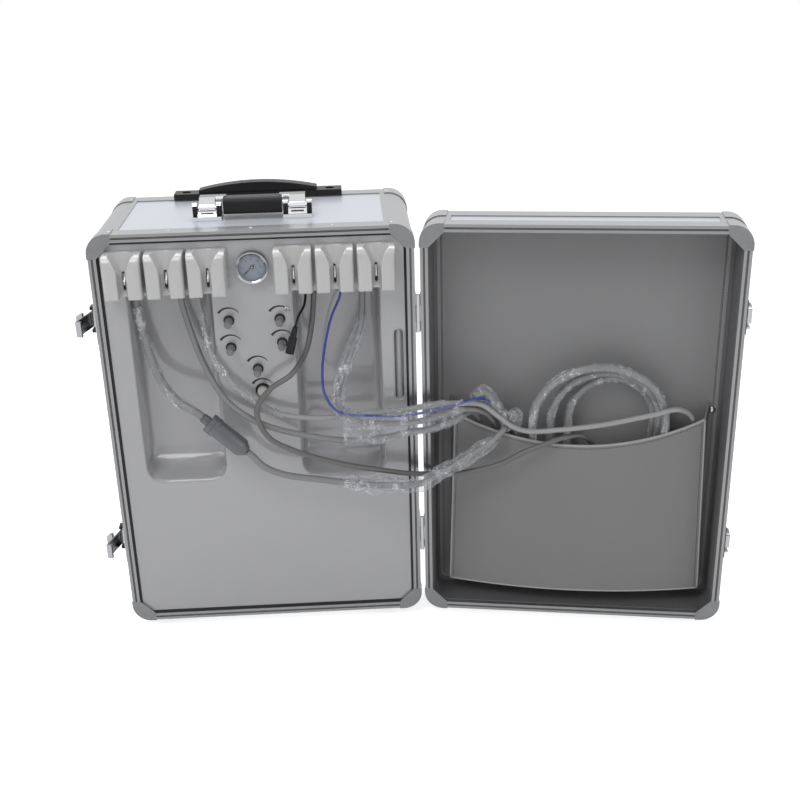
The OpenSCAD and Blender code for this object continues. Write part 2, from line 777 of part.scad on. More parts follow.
// Air tank with dished ends, an outlet at its right end and a strap to the back
module air_tank() color(satin) in_case() {
    end_t = 5;
    outlet_r = 4;
    far = case_w - tank_end;
    difference() {
        union() {
            bar_x(tank_y, tank_z, tank_r, tank_end, far);
            for (x = [tank_end - end_t, far]) bar_x(tank_y, tank_z, tank_r - 12, x, x + end_t);
        }
        bar_x(tank_y, tank_z, tank_r - vessel_wall, tank_end + vessel_wall, far - vessel_wall);
        bar_x(tank_y, tank_z, outlet_r, far - 2 * vessel_wall, far + end_t + 1);
    }
    block([control_x - 15, tank_y + 0.7 * tank_r, tank_z - 20],
        [control_x + 15, case_d - wall, tank_z + 20]);
}

// Clean and waste bottles, each with a mouth in its neck and a clip to the back
module bottles() color([0.85, 0.88, 0.9, 0.6]) in_case() {
    neck_h = 16;
    neck_r = 22;
    mouth_r = 8;
    clip_z = bottle_z + 68;
    for (x = [bottle_x, case_w - bottle_x]) {
        translate([x, bottle_y, bottle_z]) difference() {
            union() {
                cylinder(h = bottle_h, r = bottle_r);
                cylinder(h = bottle_h + neck_h, r = neck_r);
            }
            translate([0, 0, vessel_wall])
                cylinder(h = bottle_h - 2 * vessel_wall, r = bottle_r - vessel_wall);
            translate([0, 0, bottle_h / 2]) cylinder(h = bottle_h, r = mouth_r);
        }
        block([x - 10, bottle_y + bottle_r - 5, clip_z], [x + 10, case_d - wall, clip_z + 15]);
    }
}

// ---------------------------------------------------------------- handles

module handle_brackets() color(black) in_case()
    for (side = [-1, 1])
        translate([control_x + side * bracket_gap / 2, 0, 0]) {
            block([-bracket_w / 2, 58, case_h - leg_t], [bracket_w / 2, 88, case_h + 3]);
            for (x = [-bracket_w / 2, bracket_w / 2 - 6]) {
                block([x, handle_pin_y - 7, case_h + 3], [x + 6, handle_pin_y + 7, handle_pin_z]);
                bar_x(handle_pin_y, handle_pin_z, 7, x, x + 6);
            }
            bar_x(handle_pin_y, handle_pin_z, 2.5, -bracket_w / 2 + 2, bracket_w / 2 - 2);
        }

// Grip between two links, lying back on the case
module carry_handle() color(black) in_case() {
    y0 = handle_pin_y - 2;
    z0 = case_h + 3;
    r = 6;
    translate([control_x, 0, 0]) {
        along_x(-grip_len / 2, grip_len / 2) {
            translate([y0 + r, z0]) square([grip_d - 2 * r, grip_h]);
            translate([y0, z0 + r]) square([grip_d, grip_h - 2 * r]);
            for (y = [y0 + r, y0 + grip_d - r], z = [z0 + r, z0 + grip_h - r])
                translate([y, z]) circle(r = r);
        }
        for (side = [0, 1]) mirror([side, 0, 0]) difference() {
            inner = -bracket_gap / 2 - bracket_w / 2 + 8;
            union() {
                bar_x(handle_pin_y, handle_pin_z, 5, inner, inner + 20);
                along_x(inner, inner + 20)
                    polygon([[handle_pin_y - 4, handle_pin_z + 2], [handle_pin_y + 4, handle_pin_z - 2],
                        [handle_pin_y + 21, handle_pin_z + 8], [handle_pin_y + 21, handle_pin_z + 12],
                        [handle_pin_y + 6, handle_pin_z + 12]]);
                block([inner, handle_pin_y + 9, handle_pin_z + 8],
                    [-grip_len / 2 + 3, handle_pin_y + 21, handle_pin_z + 12]);
            }
            bar_x(handle_pin_y, handle_pin_z, 2.5 + pin_gap, inner - 1, inner + 21);
        }
    }
}

// Cover plate on top, with the two fixed sleeves inside the case
module trolley_base() color(black) in_case() {
    difference() {
        block([control_x - trolley_w / 2, trolley_y - trolley_depth / 2, case_h],
            [control_x + trolley_w / 2, trolley_y + trolley_depth / 2, case_h + trolley_plate_h]);
        trolley_ways();
        for (side = [-1, 1])
            translate([control_x + side * (trolley_w / 2 - 16), trolley_y, case_h + 3])
                cylinder(h = 10, r = 6);
    }
    for (side = [-1, 1])
        translate([control_x + side * (trolley_w / 2 - 16), trolley_y, case_h + 3])
            cylinder(h = 2, r = 4);
    sleeve = tube_size + 2 * (sleeve_gap + sleeve_wall) * [1, 1];
    for (side = [-1, 1]) translate([control_x + side * trolley_gap / 2, trolley_y, 0])
        difference() {
            translate([-sleeve.x / 2, -sleeve.y / 2, tube_bottom - 10])
                cube([sleeve.x, sleeve.y, case_h - wall - tube_bottom + 10]);
            translate([0, 0, case_h / 2 + tube_bottom - 6]) cube([tube_size.x + 2 * sleeve_gap,
                tube_size.y + 2 * sleeve_gap, case_h], center = true);
        }
    for (side = [-1, 1]) translate([control_x + side * trolley_gap / 2, 0, tube_bottom - 10])
        block([-9, trolley_y + sleeve.y / 2, 0], [9, case_d - wall, 12]);
}

// Front view of the arched grip
module arch(low, high_gap) {
    arch_r = (arch_w * arch_w / 4 + arch_rise * arch_rise) / (2 * arch_rise);
    top = case_h + trolley_plate_h + arch_h - high_gap;
    intersection() {
        translate([control_x - arch_w / 2, low]) square([arch_w, top - low]);
        translate([control_x, top - arch_r]) circle(r = arch_r, $fn = 180);
    }
}

trolley_button_w = 43;
trolley_button_h = 5;

module trolley_handle() color(black) in_case() {
    low = case_h + trolley_plate_h + seat_gap;
    difference() {
        along_y(trolley_y - 9, trolley_y + 9) arch(low, 0);
        block([control_x - trolley_button_w / 2 - move_gap, trolley_y - 6 - move_gap,
            low + arch_h - seat_gap - trolley_button_h - 3.2],
            [control_x + trolley_button_w / 2 + move_gap, trolley_y + 6 + move_gap, low + arch_h + 1]);
    }
    for (side = [-1, 1]) translate([control_x + side * trolley_gap / 2, trolley_y, 0])
        block([-tube_size.x / 2, -tube_size.y / 2, tube_bottom],
            [tube_size.x / 2, tube_size.y / 2, low + 2]);
}

module trolley_button() color(black) in_case()
    along_y(trolley_y - 6, trolley_y + 6) intersection() {
        arch(case_h + trolley_plate_h + arch_h - trolley_button_h, 0);
        translate([control_x - trolley_button_w / 2, case_h]) square([trolley_button_w, 60]);
    }

// ---------------------------------------------------------------- wheels

module wheel_housings() color(black) in_case()
    for (side = [0, 1]) translate([side * case_w, 0, 0]) mirror([side, 0, 0]) {
        cavity = wheel_w / 2 + 1;
        difference() {
            intersection() {
                along_y(case_d - bay_d, case_d) outline(0);
                block([0, 0, 0], [bay_w, case_d, bay_h]);
            }
            bar_x(wheel_y, wheel_z, wheel_r + 2, wheel_x - cavity, wheel_x + cavity);
            bar_x(wheel_y, wheel_z, axle_r + pin_gap, 4, bay_w + 1);
        }
        bar_x(wheel_y, wheel_z, axle_r, 4.4, bay_w - 1);
    }

module wheel(side) color([0.2, 0.2, 0.21]) in_case()
    translate([side * case_w, 0, 0]) mirror([side, 0, 0]) difference() {
        union() {
            bar_x(wheel_y, wheel_z, wheel_r, wheel_x - wheel_w / 2 + 2, wheel_x + wheel_w / 2 - 2);
            bar_x(wheel_y, wheel_z, wheel_r - 2, wheel_x - wheel_w / 2, wheel_x + wheel_w / 2);
        }
        bar_x(wheel_y, wheel_z, axle_r + 2 * pin_gap, 0, bay_w);
    }

// ---------------------------------------------------------------- hinges

pin_r = 1.2;
knuckle_gap = 0.3;

// Leaf on a wall at x = 0, its knuckles round an axis outside the wall
module leaf(spans) {
    difference() {
        union() {
            block([-hinge_gap, 4.2, -hinge_h / 2], [-hinge_gap + leg_t, 26, hinge_h / 2]);
            for (s = spans) {
                translate([0, 0, s[0]]) cylinder(h = s[1] - s[0], r = knuckle_r);
                block([-hinge_gap, 0.5, s[0]], [0, knuckle_r - 0.1, s[1]]);
                block([-hinge_gap, 0.5, s[0]], [-hinge_gap + leg_t, 4.3, s[1]]);
            }
        }
        translate([0, 0, -hinge_h]) cylinder(h = 2 * hinge_h, r = pin_r + pin_gap);
    }
}

mid_knuckle = hinge_h * 0.42;
end_spans = [[-hinge_h / 2, -mid_knuckle / 2 - knuckle_gap],
    [mid_knuckle / 2 + knuckle_gap, hinge_h / 2]];

module case_hinge_leaves() color(chrome) in_case()
    for (z = fitting_z) translate([case_w + hinge_gap, 0, z]) {
        leaf(end_spans);
        translate([0, 0, -hinge_h / 2 - 0.5]) cylinder(h = hinge_h + 1, r = pin_r);
    }

module lid_hinge_leaves() color(chrome) in_lid()
    for (z = fitting_z) translate([-hinge_gap, 0, z])
        mirror([1, 0, 0]) leaf([[-mid_knuckle / 2, mid_knuckle / 2]]);

// ---------------------------------------------------------------- latches

// Children with x pointing out of the case's latch side, at a latch's height
module at_latch(i) {
    in_case() translate([0, 0, fitting_z[i]]) mirror([1, 0, 0]) children();
}

// Children in the hook's own frame, swung out to its open place
module hook_frame() {
    translate([hook_pivot_out, hook_pivot_y, 0]) rotate([0, 0, hook_tilt])
        translate([-hook_pivot_out, -hook_pivot_y, 0]) children();
}

hook_w = 20;
hook_in = 8.4;
hook_t = 2;
lip_y = -14.5;
hook_pin_r = 1.6;

module latch_bases() color(black) for (i = [0, 1]) at_latch(i) {
    block([0, 3, -26], [1.6, 42, 26]);
    block([-leg_t, rim_leg + seat_gap, -26], [0, 42, 26]);
    for (s = [0, 1]) mirror([0, 0, s])
        block([1.6, 24, hook_w / 2 + 3], [11, 36, hook_w / 2 + 7]);
    translate([hook_pivot_out, hook_pivot_y, -hook_w / 2 - 5]) cylinder(h = hook_w + 10, r = hook_pin_r);
}

module latch_hook(i) color(chrome) at_latch(i) hook_frame() difference() {
    union() {
        translate([hook_pivot_out, hook_pivot_y, -hook_w / 2]) cylinder(h = hook_w, r = 3.4);
        block([hook_in, lip_y, -hook_w / 2], [hook_in + hook_t, hook_pivot_y, hook_w / 2]);
        block([3.2, lip_y, -hook_w / 2], [hook_in + hook_t, lip_y + 3.5, hook_w / 2]);
    }
    translate([hook_pivot_out, hook_pivot_y, -hook_w]) cylinder(h = 2 * hook_w, r = hook_pin_r + pin_gap);
    bar_x(wing_y, 0, 2.5 + pin_gap, hook_in - 1, hook_in + hook_t + 1);
}

module latch_wing(i) color(chrome) at_latch(i) hook_frame() {
    bar_x(wing_y, 0, 2.5, hook_in + 0.2, hook_in + hook_t + 1);
    bar_x(wing_y, 0, 6, hook_in + hook_t + 0.3, hook_in + hook_t + 4);
    intersection() {
        block([hook_in + hook_t + 3, wing_y - wing_w / 2, -12],
            [wing_out, wing_y + wing_w / 2, 12]);
        translate([hook_in + hook_t + 2, 0, 0]) rotate([90, 0, 0])
            cylinder(h = 100, r = 12.5, center = true);
    }
}

module lid_keepers() color(chrome) in_lid() for (z = fitting_z)
    translate([case_w, 0, z]) {
        block([0, 3, -22], [1.6, rim_leg, 22]);
        block([1.6, 7.5, -9], [keeper_out, keeper_y, 9]);
        for (s = [0, 1]) mirror([0, 0, s]) block([1.6, 4.5, 12.6], [6, 18, 15]);
    }

// ---------------------------------------------------------------- lid

module lid_panels() color(silver) in_lid() box_panels(lid_d);
module lid_frame() color(satin) in_lid() box_frame(lid_d, rim_gap);

module lid_corner_caps() color(chrome) in_lid() {
    at_corners() rim_cap(rim_gap);
    at_corners() back_cap(lid_d);
}

// Face of the lining inside the back of the lid
lining_t = 3;
lining_out = wall + inner_leg + seat_gap;
lining_y = lid_d - wall - seat_gap - lining_t;

module lid_lining() color(leather) in_lid() {
    along_y(rim_d + seat_gap, lining_y + lining_t) difference() {
        outline(lining_out);
        outline(lining_out + lining_t);
    }
    along_y(lining_y, lining_y + lining_t) outline(lining_out + lining_t + seat_gap);
}

// Pocket of leatherette: bowed front, two sides, a floor and a dipping top edge
pocket_mid = (pocket_x[0] + pocket_x[1]) / 2;
pocket_half = (pocket_x[1] - pocket_x[0]) / 2;
bow_r = (pocket_half * pocket_half + pocket_bow * pocket_bow) / (2 * pocket_bow);
dip_r = (pocket_half * pocket_half + pocket_dip * pocket_dip) / (2 * pocket_dip);

module pocket_plan(grow) {
    back = lining_y - seat_gap;
    intersection() {
        translate([pocket_x[0] + grow, 0]) square([2 * pocket_half - 2 * grow, back]);
        translate([pocket_mid, pocket_corner_y - pocket_bow + bow_r])
            circle(r = bow_r - grow, $fn = 240);
    }
}

module lid_pocket() color(leather) in_lid() {
    translate([0, 0, pocket_low]) linear_extrude(pocket_t) pocket_plan(0);
    difference() {
        translate([0, 0, pocket_low]) linear_extrude(pocket_high - pocket_low) difference() {
            pocket_plan(0);
            pocket_plan(pocket_t);
            translate([pocket_x[0] + pocket_t, lining_y - seat_gap - 1])
                square([2 * pocket_half - 2 * pocket_t, 2]);
        }
        translate([pocket_mid, 70, pocket_high - pocket_dip + dip_r]) rotate([90, 0, 0])
            cylinder(h = 80, r = dip_r, $fn = 180);
    }
}

// ---------------------------------------------------------------- cords

function unit(v) = v / norm(v);

// Direction of travel at each point of a route
function heading(p, i) = unit(p[min(i + 1, len(p) - 1)] - p[max(i - 1, 0)]);

// One ring of points square to the route
function ring(p, i, r, sides) =
    let (t = heading(p, i), a = unit(cross(t, [0.1, 1, 0.05])), b = cross(t, a))
    [for (k = [0:sides - 1]) p[i] + r * (cos(360 * k / sides) * a + sin(360 * k / sides) * b)];

// One closed tube along a route
module tube(p, r, sides) {
    n = len(p);
    points = [for (i = [0:n - 1]) each ring(p, i, r, sides)];
    skin = [for (i = [0:n - 2], k = [0:sides - 1])
        let (a = i * sides + k, b = i * sides + (k + 1) % sides, c = a + sides, d = b + sides)
        each [[a, c, d], [a, d, b]]];
    ends = [for (k = [1:sides - 2]) each [[0, k, k + 1],
        [(n - 1) * sides, (n - 1) * sides + k + 1, (n - 1) * sides + k]]];
    polyhedron(points = points, faces = concat(skin, ends), convexity = 10);
}

function run_length(p) = len(p) < 2 ? 0 : norm(p[1] - p[0])
    + run_length([for (i = [1:len(p) - 1]) p[i]]);

suction_low_route = concat(case_points(suction_low_case), lid_points(suction_low_lid));
hose_a_route = concat(case_points(hose_a_case), lid_points(hose_a_lid));
hose_b_route = concat(case_points(hose_b_case), lid_points(hose_b_lid));
hose_c_route = concat(case_points(hose_c_case), lid_points(hose_c_lid));
syringe_route = concat(case_points(syringe_case), lid_points(syringe_lid));
blue_route = concat(case_points(blue_case), lid_points(blue_lid));

module suction_hose_upper() color(hose_grey) tube(case_points(suction_up_route), suction_up_r, 8);
module suction_hose_lower() color(hose_grey) tube(suction_low_route, suction_low_r, 8);
module syringe_hose() color(hose_grey) tube(syringe_route, syringe_r, 8);
module lamp_cable() color(black) tube(case_points(cable_route), cable_r, 8);
module blue_tube() color([0.1, 0.2, 0.7]) tube(blue_route, blue_r, 8);

module instrument_hoses() color(hose_grey) {
    tube(hose_a_route, hose_a_r, 8);
    tube(hose_b_route, hose_b_r, 8);
    tube(hose_c_route, hose_b_r, 8);
}

module suction_strainer() color([0.3, 0.31, 0.33]) in_case() {
    reach = norm(strainer_to - strainer_from);
    neck = suction_up_r + 1.5;
    turned(strainer_from, strainer_to, [[0, 0], [neck, 0], [neck, 10], [strainer_r + 1, 11],
        [strainer_r + 1, 24], [strainer_r, 25], [strainer_r, reach - 8],
        [suction_low_r + 2, reach], [0, reach]]);
}

module lamp_plug() color(black) in_case() {
    reach = norm(plug_ends[1] - plug_ends[0]);
    turned(plug_ends[0], plug_ends[1],
        [[0, 0], [3, 0], [4.2, 13], [5.4, 14], [5.6, reach], [0, reach]]);
}

// A point on the looped hose, turn counted from its start in the pocket
function loop_point(turn) =
    let (angle = -90 - 360 * turn, low = loop_start.z - pocket_floor - loop_r - 0.3,
        rise = sin(angle) > 0 ? loop_up[0] + loop_up[1] * turn : low + loop_drift[1] * turn)
    [loop_start.x + loop_drift[0] * turn + (loop_a[0] + loop_a[1] * turn) * cos(angle),
        loop_start.y + loop_pitch * turn,
        loop_start.z + loop_drift[1] * turn + rise * sin(angle)];
loop_count = loop_turns * loop_rings;
loop_route = [for (i = [0:loop_count]) loop_point(i / loop_rings)];
module hose_loops() color(hose_grey) tube(lid_points(loop_route), loop_r, 6);

// Couplings on the hose ends, standing on the floor of the pocket
module hose_couplings() color(chrome) in_lid()
    for (route = [suction_low_lid, hose_a_lid, syringe_lid]) {
        end = route[len(route) - 1];
        translate([end.x, end.y, pocket_floor + 0.3]) cylinder(h = end.z - pocket_floor - 0.3, r = 6.5);
    }

// Least gap between the turns of the loops
function loop_gap() = min([for (i = [0:loop_count], j = [i + 12:1:loop_count])
    norm(loop_route[i] - loop_route[j])]) - 2 * loop_r;
echo(loop_gap = loop_gap());
echo(suction_up = run_length(suction_up_route), suction_low = run_length(suction_low_route));
echo(hose_a = run_length(hose_a_route), hose_b = run_length(hose_b_route));
echo(hose_c = run_length(hose_c_route), syringe = run_length(syringe_route));
echo(blue = run_length(blue_route), cable = run_length(cable_route), loops = run_length(loop_route));

// ---------------------------------------------------------------- nodes

case_panels();
case_frame();
case_corner_caps();
case_rivets();
rubber_feet();
front_panel();
left_holders();
right_holders();
gauge_case();
gauge_lens();
gauge_needle();
valve_block();
knob(0);  // water_knob
knob(1);  // spray_knob
knob(2);  // air_knob_upper
knob(3);  // air_knob_lower
knob(4);  // bottle_knob
mains_fittings();
power_button();
level_tube();
holder_lever(0);  // holder_lever_1
holder_lever(1);  // holder_lever_2
holder_lever(2);  // holder_lever_3
holder_lever(3);  // holder_lever_4
holder_lever(4);  // holder_lever_5
holder_lever(5);  // holder_lever_6
compressor();
air_tank();
bottles();
handle_brackets();
carry_handle();
trolley_base();
trolley_handle();
trolley_button();
wheel_housings();
wheel(0);  // wheel_left
wheel(1);  // wheel_right
case_hinge_leaves();
lid_hinge_leaves();
latch_bases();
latch_hook(0);  // latch_hook_lower
latch_hook(1);  // latch_hook_upper
latch_wing(0);  // latch_wing_lower
latch_wing(1);  // latch_wing_upper
lid_keepers();
lid_panels();
lid_frame();
lid_corner_caps();
lid_lining();
lid_pocket();
suction_hose_upper();
suction_strainer();
suction_hose_lower();
instrument_hoses();
syringe_hose();
lamp_cable();
lamp_plug();
blue_tube();
hose_loops();
hose_couplings();
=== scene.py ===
# %% [markdown]
# # A portable dental unit, dressed over its CAD frame
#
# The CAD model is loaded as a fixed frame and every piece made here is placed
# from it. The order is: frame and places, camera, mesh and material tools, the
# hoses, the light, the case, its moulded front and controls, the lid, and last
# the handles and fittings. Lengths are in metres unless millimetres are named.

# %% Load the frame
import math

import bmesh
import bpy
import numpy as np
from mathutils import Matrix, Vector
from mathutils.geometry import delaunay_2d_cdt


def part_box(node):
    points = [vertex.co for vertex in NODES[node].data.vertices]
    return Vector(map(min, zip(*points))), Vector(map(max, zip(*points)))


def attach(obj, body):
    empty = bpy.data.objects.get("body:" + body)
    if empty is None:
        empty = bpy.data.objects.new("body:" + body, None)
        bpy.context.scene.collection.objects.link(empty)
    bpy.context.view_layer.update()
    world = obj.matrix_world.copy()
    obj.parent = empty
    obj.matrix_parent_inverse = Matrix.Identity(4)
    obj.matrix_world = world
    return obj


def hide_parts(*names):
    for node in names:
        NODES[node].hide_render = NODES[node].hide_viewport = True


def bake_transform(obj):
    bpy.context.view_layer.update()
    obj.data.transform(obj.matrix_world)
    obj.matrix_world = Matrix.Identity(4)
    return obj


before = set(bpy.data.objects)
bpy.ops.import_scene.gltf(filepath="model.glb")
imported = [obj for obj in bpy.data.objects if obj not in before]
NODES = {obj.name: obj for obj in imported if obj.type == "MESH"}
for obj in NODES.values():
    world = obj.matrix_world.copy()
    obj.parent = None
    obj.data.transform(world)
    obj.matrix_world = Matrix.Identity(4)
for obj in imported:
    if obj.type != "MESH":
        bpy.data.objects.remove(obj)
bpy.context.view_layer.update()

# %% [markdown]
# ## Places
#
# Two helpers turn the source's own coordinates into the shared frame: `case`
# counts millimetres from the case's lower front corner on the latch side, and
# `lid` from the lid's lower front corner at the hinge. The case's corner is
# read from the frame, and only the lid's angle and hinge gap are repeated.

# %% Places in the case and in the lid
MM = 0.001
CASE_W, CASE_H, CASE_D, LID_D = 400, 550, 200, 68
CORNER_R = 24
HINGE_GAP = 3.3
LID_TILT = math.radians(9.75)
CASE_CORNER = Vector(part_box("case_frame")[0])


def case(x, y, z):
    """A point in the case, from millimetres to the shared frame."""
    return CASE_CORNER + MM * Vector((x, y, z))


def lid(u, v, z):
    """A point in the lid: u along it, v into it, z up."""
    along = HINGE_GAP + u
    x = CASE_W + HINGE_GAP + along * math.cos(LID_TILT) + v * math.sin(LID_TILT)
    y = -along * math.sin(LID_TILT) + v * math.cos(LID_TILT)
    return case(x, y, z)


CASE_OUT = Vector((0, -1, 0))
LID_TURN = Matrix.Rotation(-LID_TILT, 3, "Z")
LID_OUT, LID_SIDE = LID_TURN @ CASE_OUT, LID_TURN @ Vector((1, 0, 0))
print("case corner", [round(c, 4) for c in CASE_CORNER])

# %% [markdown]
# ## Camera
#
# The photograph was taken from in front and a little above, by a camera that
# leans slightly. Its place and turn were solved from the case's edges, and the
# image is taken to be 800 pixels square.

# %% Camera
VIEW_FROM = case(322, -1389.5, 906.2)
YAW, PITCH, ROLL = (math.radians(a) for a in (-2.29, 22.95, -1.49))
FOCAL_PX, IMAGE_PX, SENSOR_MM = 1160.6, 800, 36

ahead = Vector((-math.sin(YAW) * math.cos(PITCH), math.cos(YAW) * math.cos(PITCH),
                -math.sin(PITCH)))
level = Vector((math.cos(YAW), math.sin(YAW), 0))
upright = level.cross(ahead)
right = math.cos(ROLL) * level + math.sin(ROLL) * upright
above = math.cos(ROLL) * upright - math.sin(ROLL) * level
camera_data = bpy.data.cameras.new("camera")
camera_data.sensor_width = SENSOR_MM
camera_data.lens = SENSOR_MM * FOCAL_PX / IMAGE_PX
camera = bpy.data.objects.new("camera", camera_data)
turn = Matrix((right, above, -ahead)).transposed()
camera.matrix_world = Matrix.Translation(VIEW_FROM) @ turn.to_4x4()
bpy.context.collection.objects.link(camera)
bpy.context.scene.camera = camera
print("lens", round(camera_data.lens, 1), "mm")

# %% [markdown]
# ## Mesh tools
#
# Nearly every piece is a grid of points turned into quads, so tubes, turned
# parts and sheets share the same few functions. Blender's curves and modifiers
# could make the tubes too, but worked-out points let a route, its film and its
# length come from the same numbers.

# %% Mesh tools
def piece(name, points, faces, material, body, smooth=True):
    """A mesh object that rides on a body; a body of None leaves it to the caller."""
    mesh = bpy.data.meshes.new(name)
    mesh.from_pydata([tuple(p) for p in points], [], faces)
    mesh.polygons.foreach_set("use_smooth", [smooth] * len(mesh.polygons))
    mesh.materials.append(material)
    mesh.update()
    obj = bpy.data.objects.new(name, mesh)
    bpy.context.collection.objects.link(obj)
    if body:
        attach(obj, body)
    return obj


def grid_faces(rows, cols, close_cols=False, close_rows=False):
    """Quads of a grid of points stored row by row."""
    faces = []
    for i in range(rows if close_rows else rows - 1):
        here, after = i * cols, (i + 1) % rows * cols
        for j in range(cols if close_cols else cols - 1):
            k = (j + 1) % cols
            faces.append((here + j, here + k, after + k, after + j))
    return faces


def run_along(path):
    """The distance run at each point of a path, from 0 at its start."""
    return np.r_[0, np.cumsum(np.linalg.norm(np.diff(path, axis=0), axis=1))]


def points_at(path, run, at):
    """Points of a path at given distances, each coordinate read off between its points."""
    return np.column_stack([np.interp(at, run, path[:, k]) for k in range(3)])


def smooth_path(points, step=0.004):
    """A centripetal Catmull-Rom curve through the points, evenly spaced. Each point is
    mixed from four neighbours in three rounds, with knots as far apart as the square
    root of the distance between the points."""
    p = np.array([tuple(q) for q in points], float)
    p = np.vstack([2 * p[0] - p[1], p, 2 * p[-1] - p[-2]])
    out = []
    for a, b, c, d in zip(p[:-3], p[1:-2], p[2:-1], p[3:]):
        t0, t1 = 0.0, np.linalg.norm(b - a) ** 0.5
        t2 = t1 + np.linalg.norm(c - b) ** 0.5
        t3 = t2 + np.linalg.norm(d - c) ** 0.5
        t = np.linspace(t1, t2, 24, endpoint=False)[:, None]
        a1 = (t1 - t) / (t1 - t0) * a + (t - t0) / (t1 - t0) * b
        a2 = (t2 - t) / (t2 - t1) * b + (t - t1) / (t2 - t1) * c
        a3 = (t3 - t) / (t3 - t2) * c + (t - t2) / (t3 - t2) * d
        b1 = (t2 - t) / (t2 - t0) * a1 + (t - t0) / (t2 - t0) * a2
        b2 = (t3 - t) / (t3 - t1) * a2 + (t - t1) / (t3 - t1) * a3
        out.append((t2 - t) / (t2 - t1) * b1 + (t - t1) / (t2 - t1) * b2)
    line = np.vstack(out + [p[-2:-1]])
    run = run_along(line)
    return points_at(line, run, np.linspace(0, run[-1], max(8, int(run[-1] / step)) + 1))


def length_of(path):
    """The sum of the distances between the path's points."""
    return float(np.linalg.norm(np.diff(path, axis=0), axis=1).sum())


def frames_along(path):
    """Two unit vectors square to the path at each point, carried without twist."""
    t = np.gradient(path, axis=0)
    t /= np.linalg.norm(t, axis=1)[:, None]
    side = np.cross(t[0], [0.1, 1, 0.05])
    sides = []
    for tangent in t:
        side = side - tangent * side.dot(tangent)
        side /= np.linalg.norm(side)
        sides.append(side.copy())
    sides = np.array(sides)
    return sides, np.cross(t, sides)


def radii(radius, rows, sides):
    """A radius for each ring and side, from one number, one per ring, or all of them."""
    each_ring = np.asarray(radius, float).reshape(-1, 1) if np.ndim(radius) == 1 else radius
    return np.broadcast_to(each_ring, (rows, sides))


def tube_points(path, radius, sides):
    """Rings round the path: point + radius (cos turn * one side + sin turn * the other)."""
    a, b = frames_along(path)
    turn = np.linspace(0, 2 * np.pi, sides, endpoint=False)
    radius = radii(radius, len(path), sides)
    ring = (np.cos(turn)[None, :, None] * a[:, None, :]
            + np.sin(turn)[None, :, None] * b[:, None, :])
    return path[:, None, :] + radius[:, :, None] * ring


def tube(name, path, radius, material, body, sides=16, smooth=True):
    """A closed tube along the path with flat ends."""
    points = tube_points(path, radius, sides)
    n = len(path)
    faces = grid_faces(n, sides, close_cols=True)
    faces += [tuple(range(sides))[::-1], tuple(range((n - 1) * sides, n * sides))]
    faces = [tuple(reversed(f)) for f in faces]
    return piece(name, points.reshape(-1, 3), faces, material, body, smooth)


def square_to(axis):
    """The axis as a unit vector, and two more square to it and to each other."""
    axis = Vector(axis).normalized()
    x = axis.orthogonal().normalized()
    return axis, x, axis.cross(x)


def turned(name, profile, origin, axis, material, body, steps=48, flutes=0, depth=0.0):
    """A turned part: profile is (radius, length) pairs in mm from origin along axis.
    Flutes take depth (1 - cos(flutes * angle)) / 2 off each radius, as shallow grooves."""
    axis, x, y = square_to(axis)
    around = np.linspace(0, 2 * np.pi, steps, endpoint=False)
    points = []
    for r, along in np.asarray(profile, float).tolist():
        cut = depth * (0.5 - 0.5 * np.cos(flutes * around)) if flutes and r > 2 * depth else 0
        reach = np.broadcast_to(r - cut, around.shape)
        for angle, radius in zip(around.tolist(), reach.tolist()):
            points.append(Vector(origin) + MM * (along * axis + radius * math.cos(angle) * x
                                                 + radius * math.sin(angle) * y))
    faces = grid_faces(len(profile), steps, close_cols=True)
    ring = tuple(profile[0]) == tuple(profile[-1])
    if profile[0][0] > 0 and not ring:
        faces.append(tuple(range(steps))[::-1])
    if profile[-1][0] > 0 and not ring:
        faces.append(tuple(range((len(profile) - 1) * steps, len(profile) * steps)))
    obj = piece(name, points, faces, material, body)
    bm = bmesh.new()
    bm.from_mesh(obj.data)
    bmesh.ops.remove_doubles(bm, verts=bm.verts, dist=1e-6)
    bmesh.ops.recalc_face_normals(bm, faces=bm.faces)
    bm.to_mesh(obj.data)
    bm.free()
    return sharpen(obj)


def sharpen(obj, angle=40):
    """Marks edges over the angle as sharp, so flat ends stay crisp."""
    obj.data.set_sharp_from_angle(angle=math.radians(angle))
    return obj


def bevelled(node, width, segments=3, angle=35):
    """Rounds the edges of a CAD node with a modifier; its mesh stays."""
    obj = NODES[node]
    bevel = obj.modifiers.new("soft_edges", "BEVEL")
    bevel.width = width * MM
    bevel.segments = segments
    bevel.limit_method = "ANGLE"
    bevel.angle_limit = math.radians(angle)
    bevel.harden_normals = True
    obj.data.polygons.foreach_set("use_smooth", [True] * len(obj.data.polygons))
    return sharpen(obj, angle)


# %% [markdown]
# ## Materials
#
# One node group makes a fine two-scale grain from object coordinates. It gives
# a value that tints the colour, varies the roughness and drives a small bump,
# so that no surface is one flat colour. Images could do the same, but would
# need each piece unwrapped.

# %% Grain node group
def add(tree, kind, inputs=(), **settings):
    """A new node. Its inputs are set to values, or linked where the value is a socket."""
    node = tree.nodes.new("ShaderNode" + kind)
    for key, value in settings.items():
        setattr(node, key, value)
    for key, value in dict(inputs).items():
        if isinstance(value, bpy.types.NodeSocket):
            tree.links.new(value, node.inputs[key])
        else:
            node.inputs[key].default_value = value
    return node


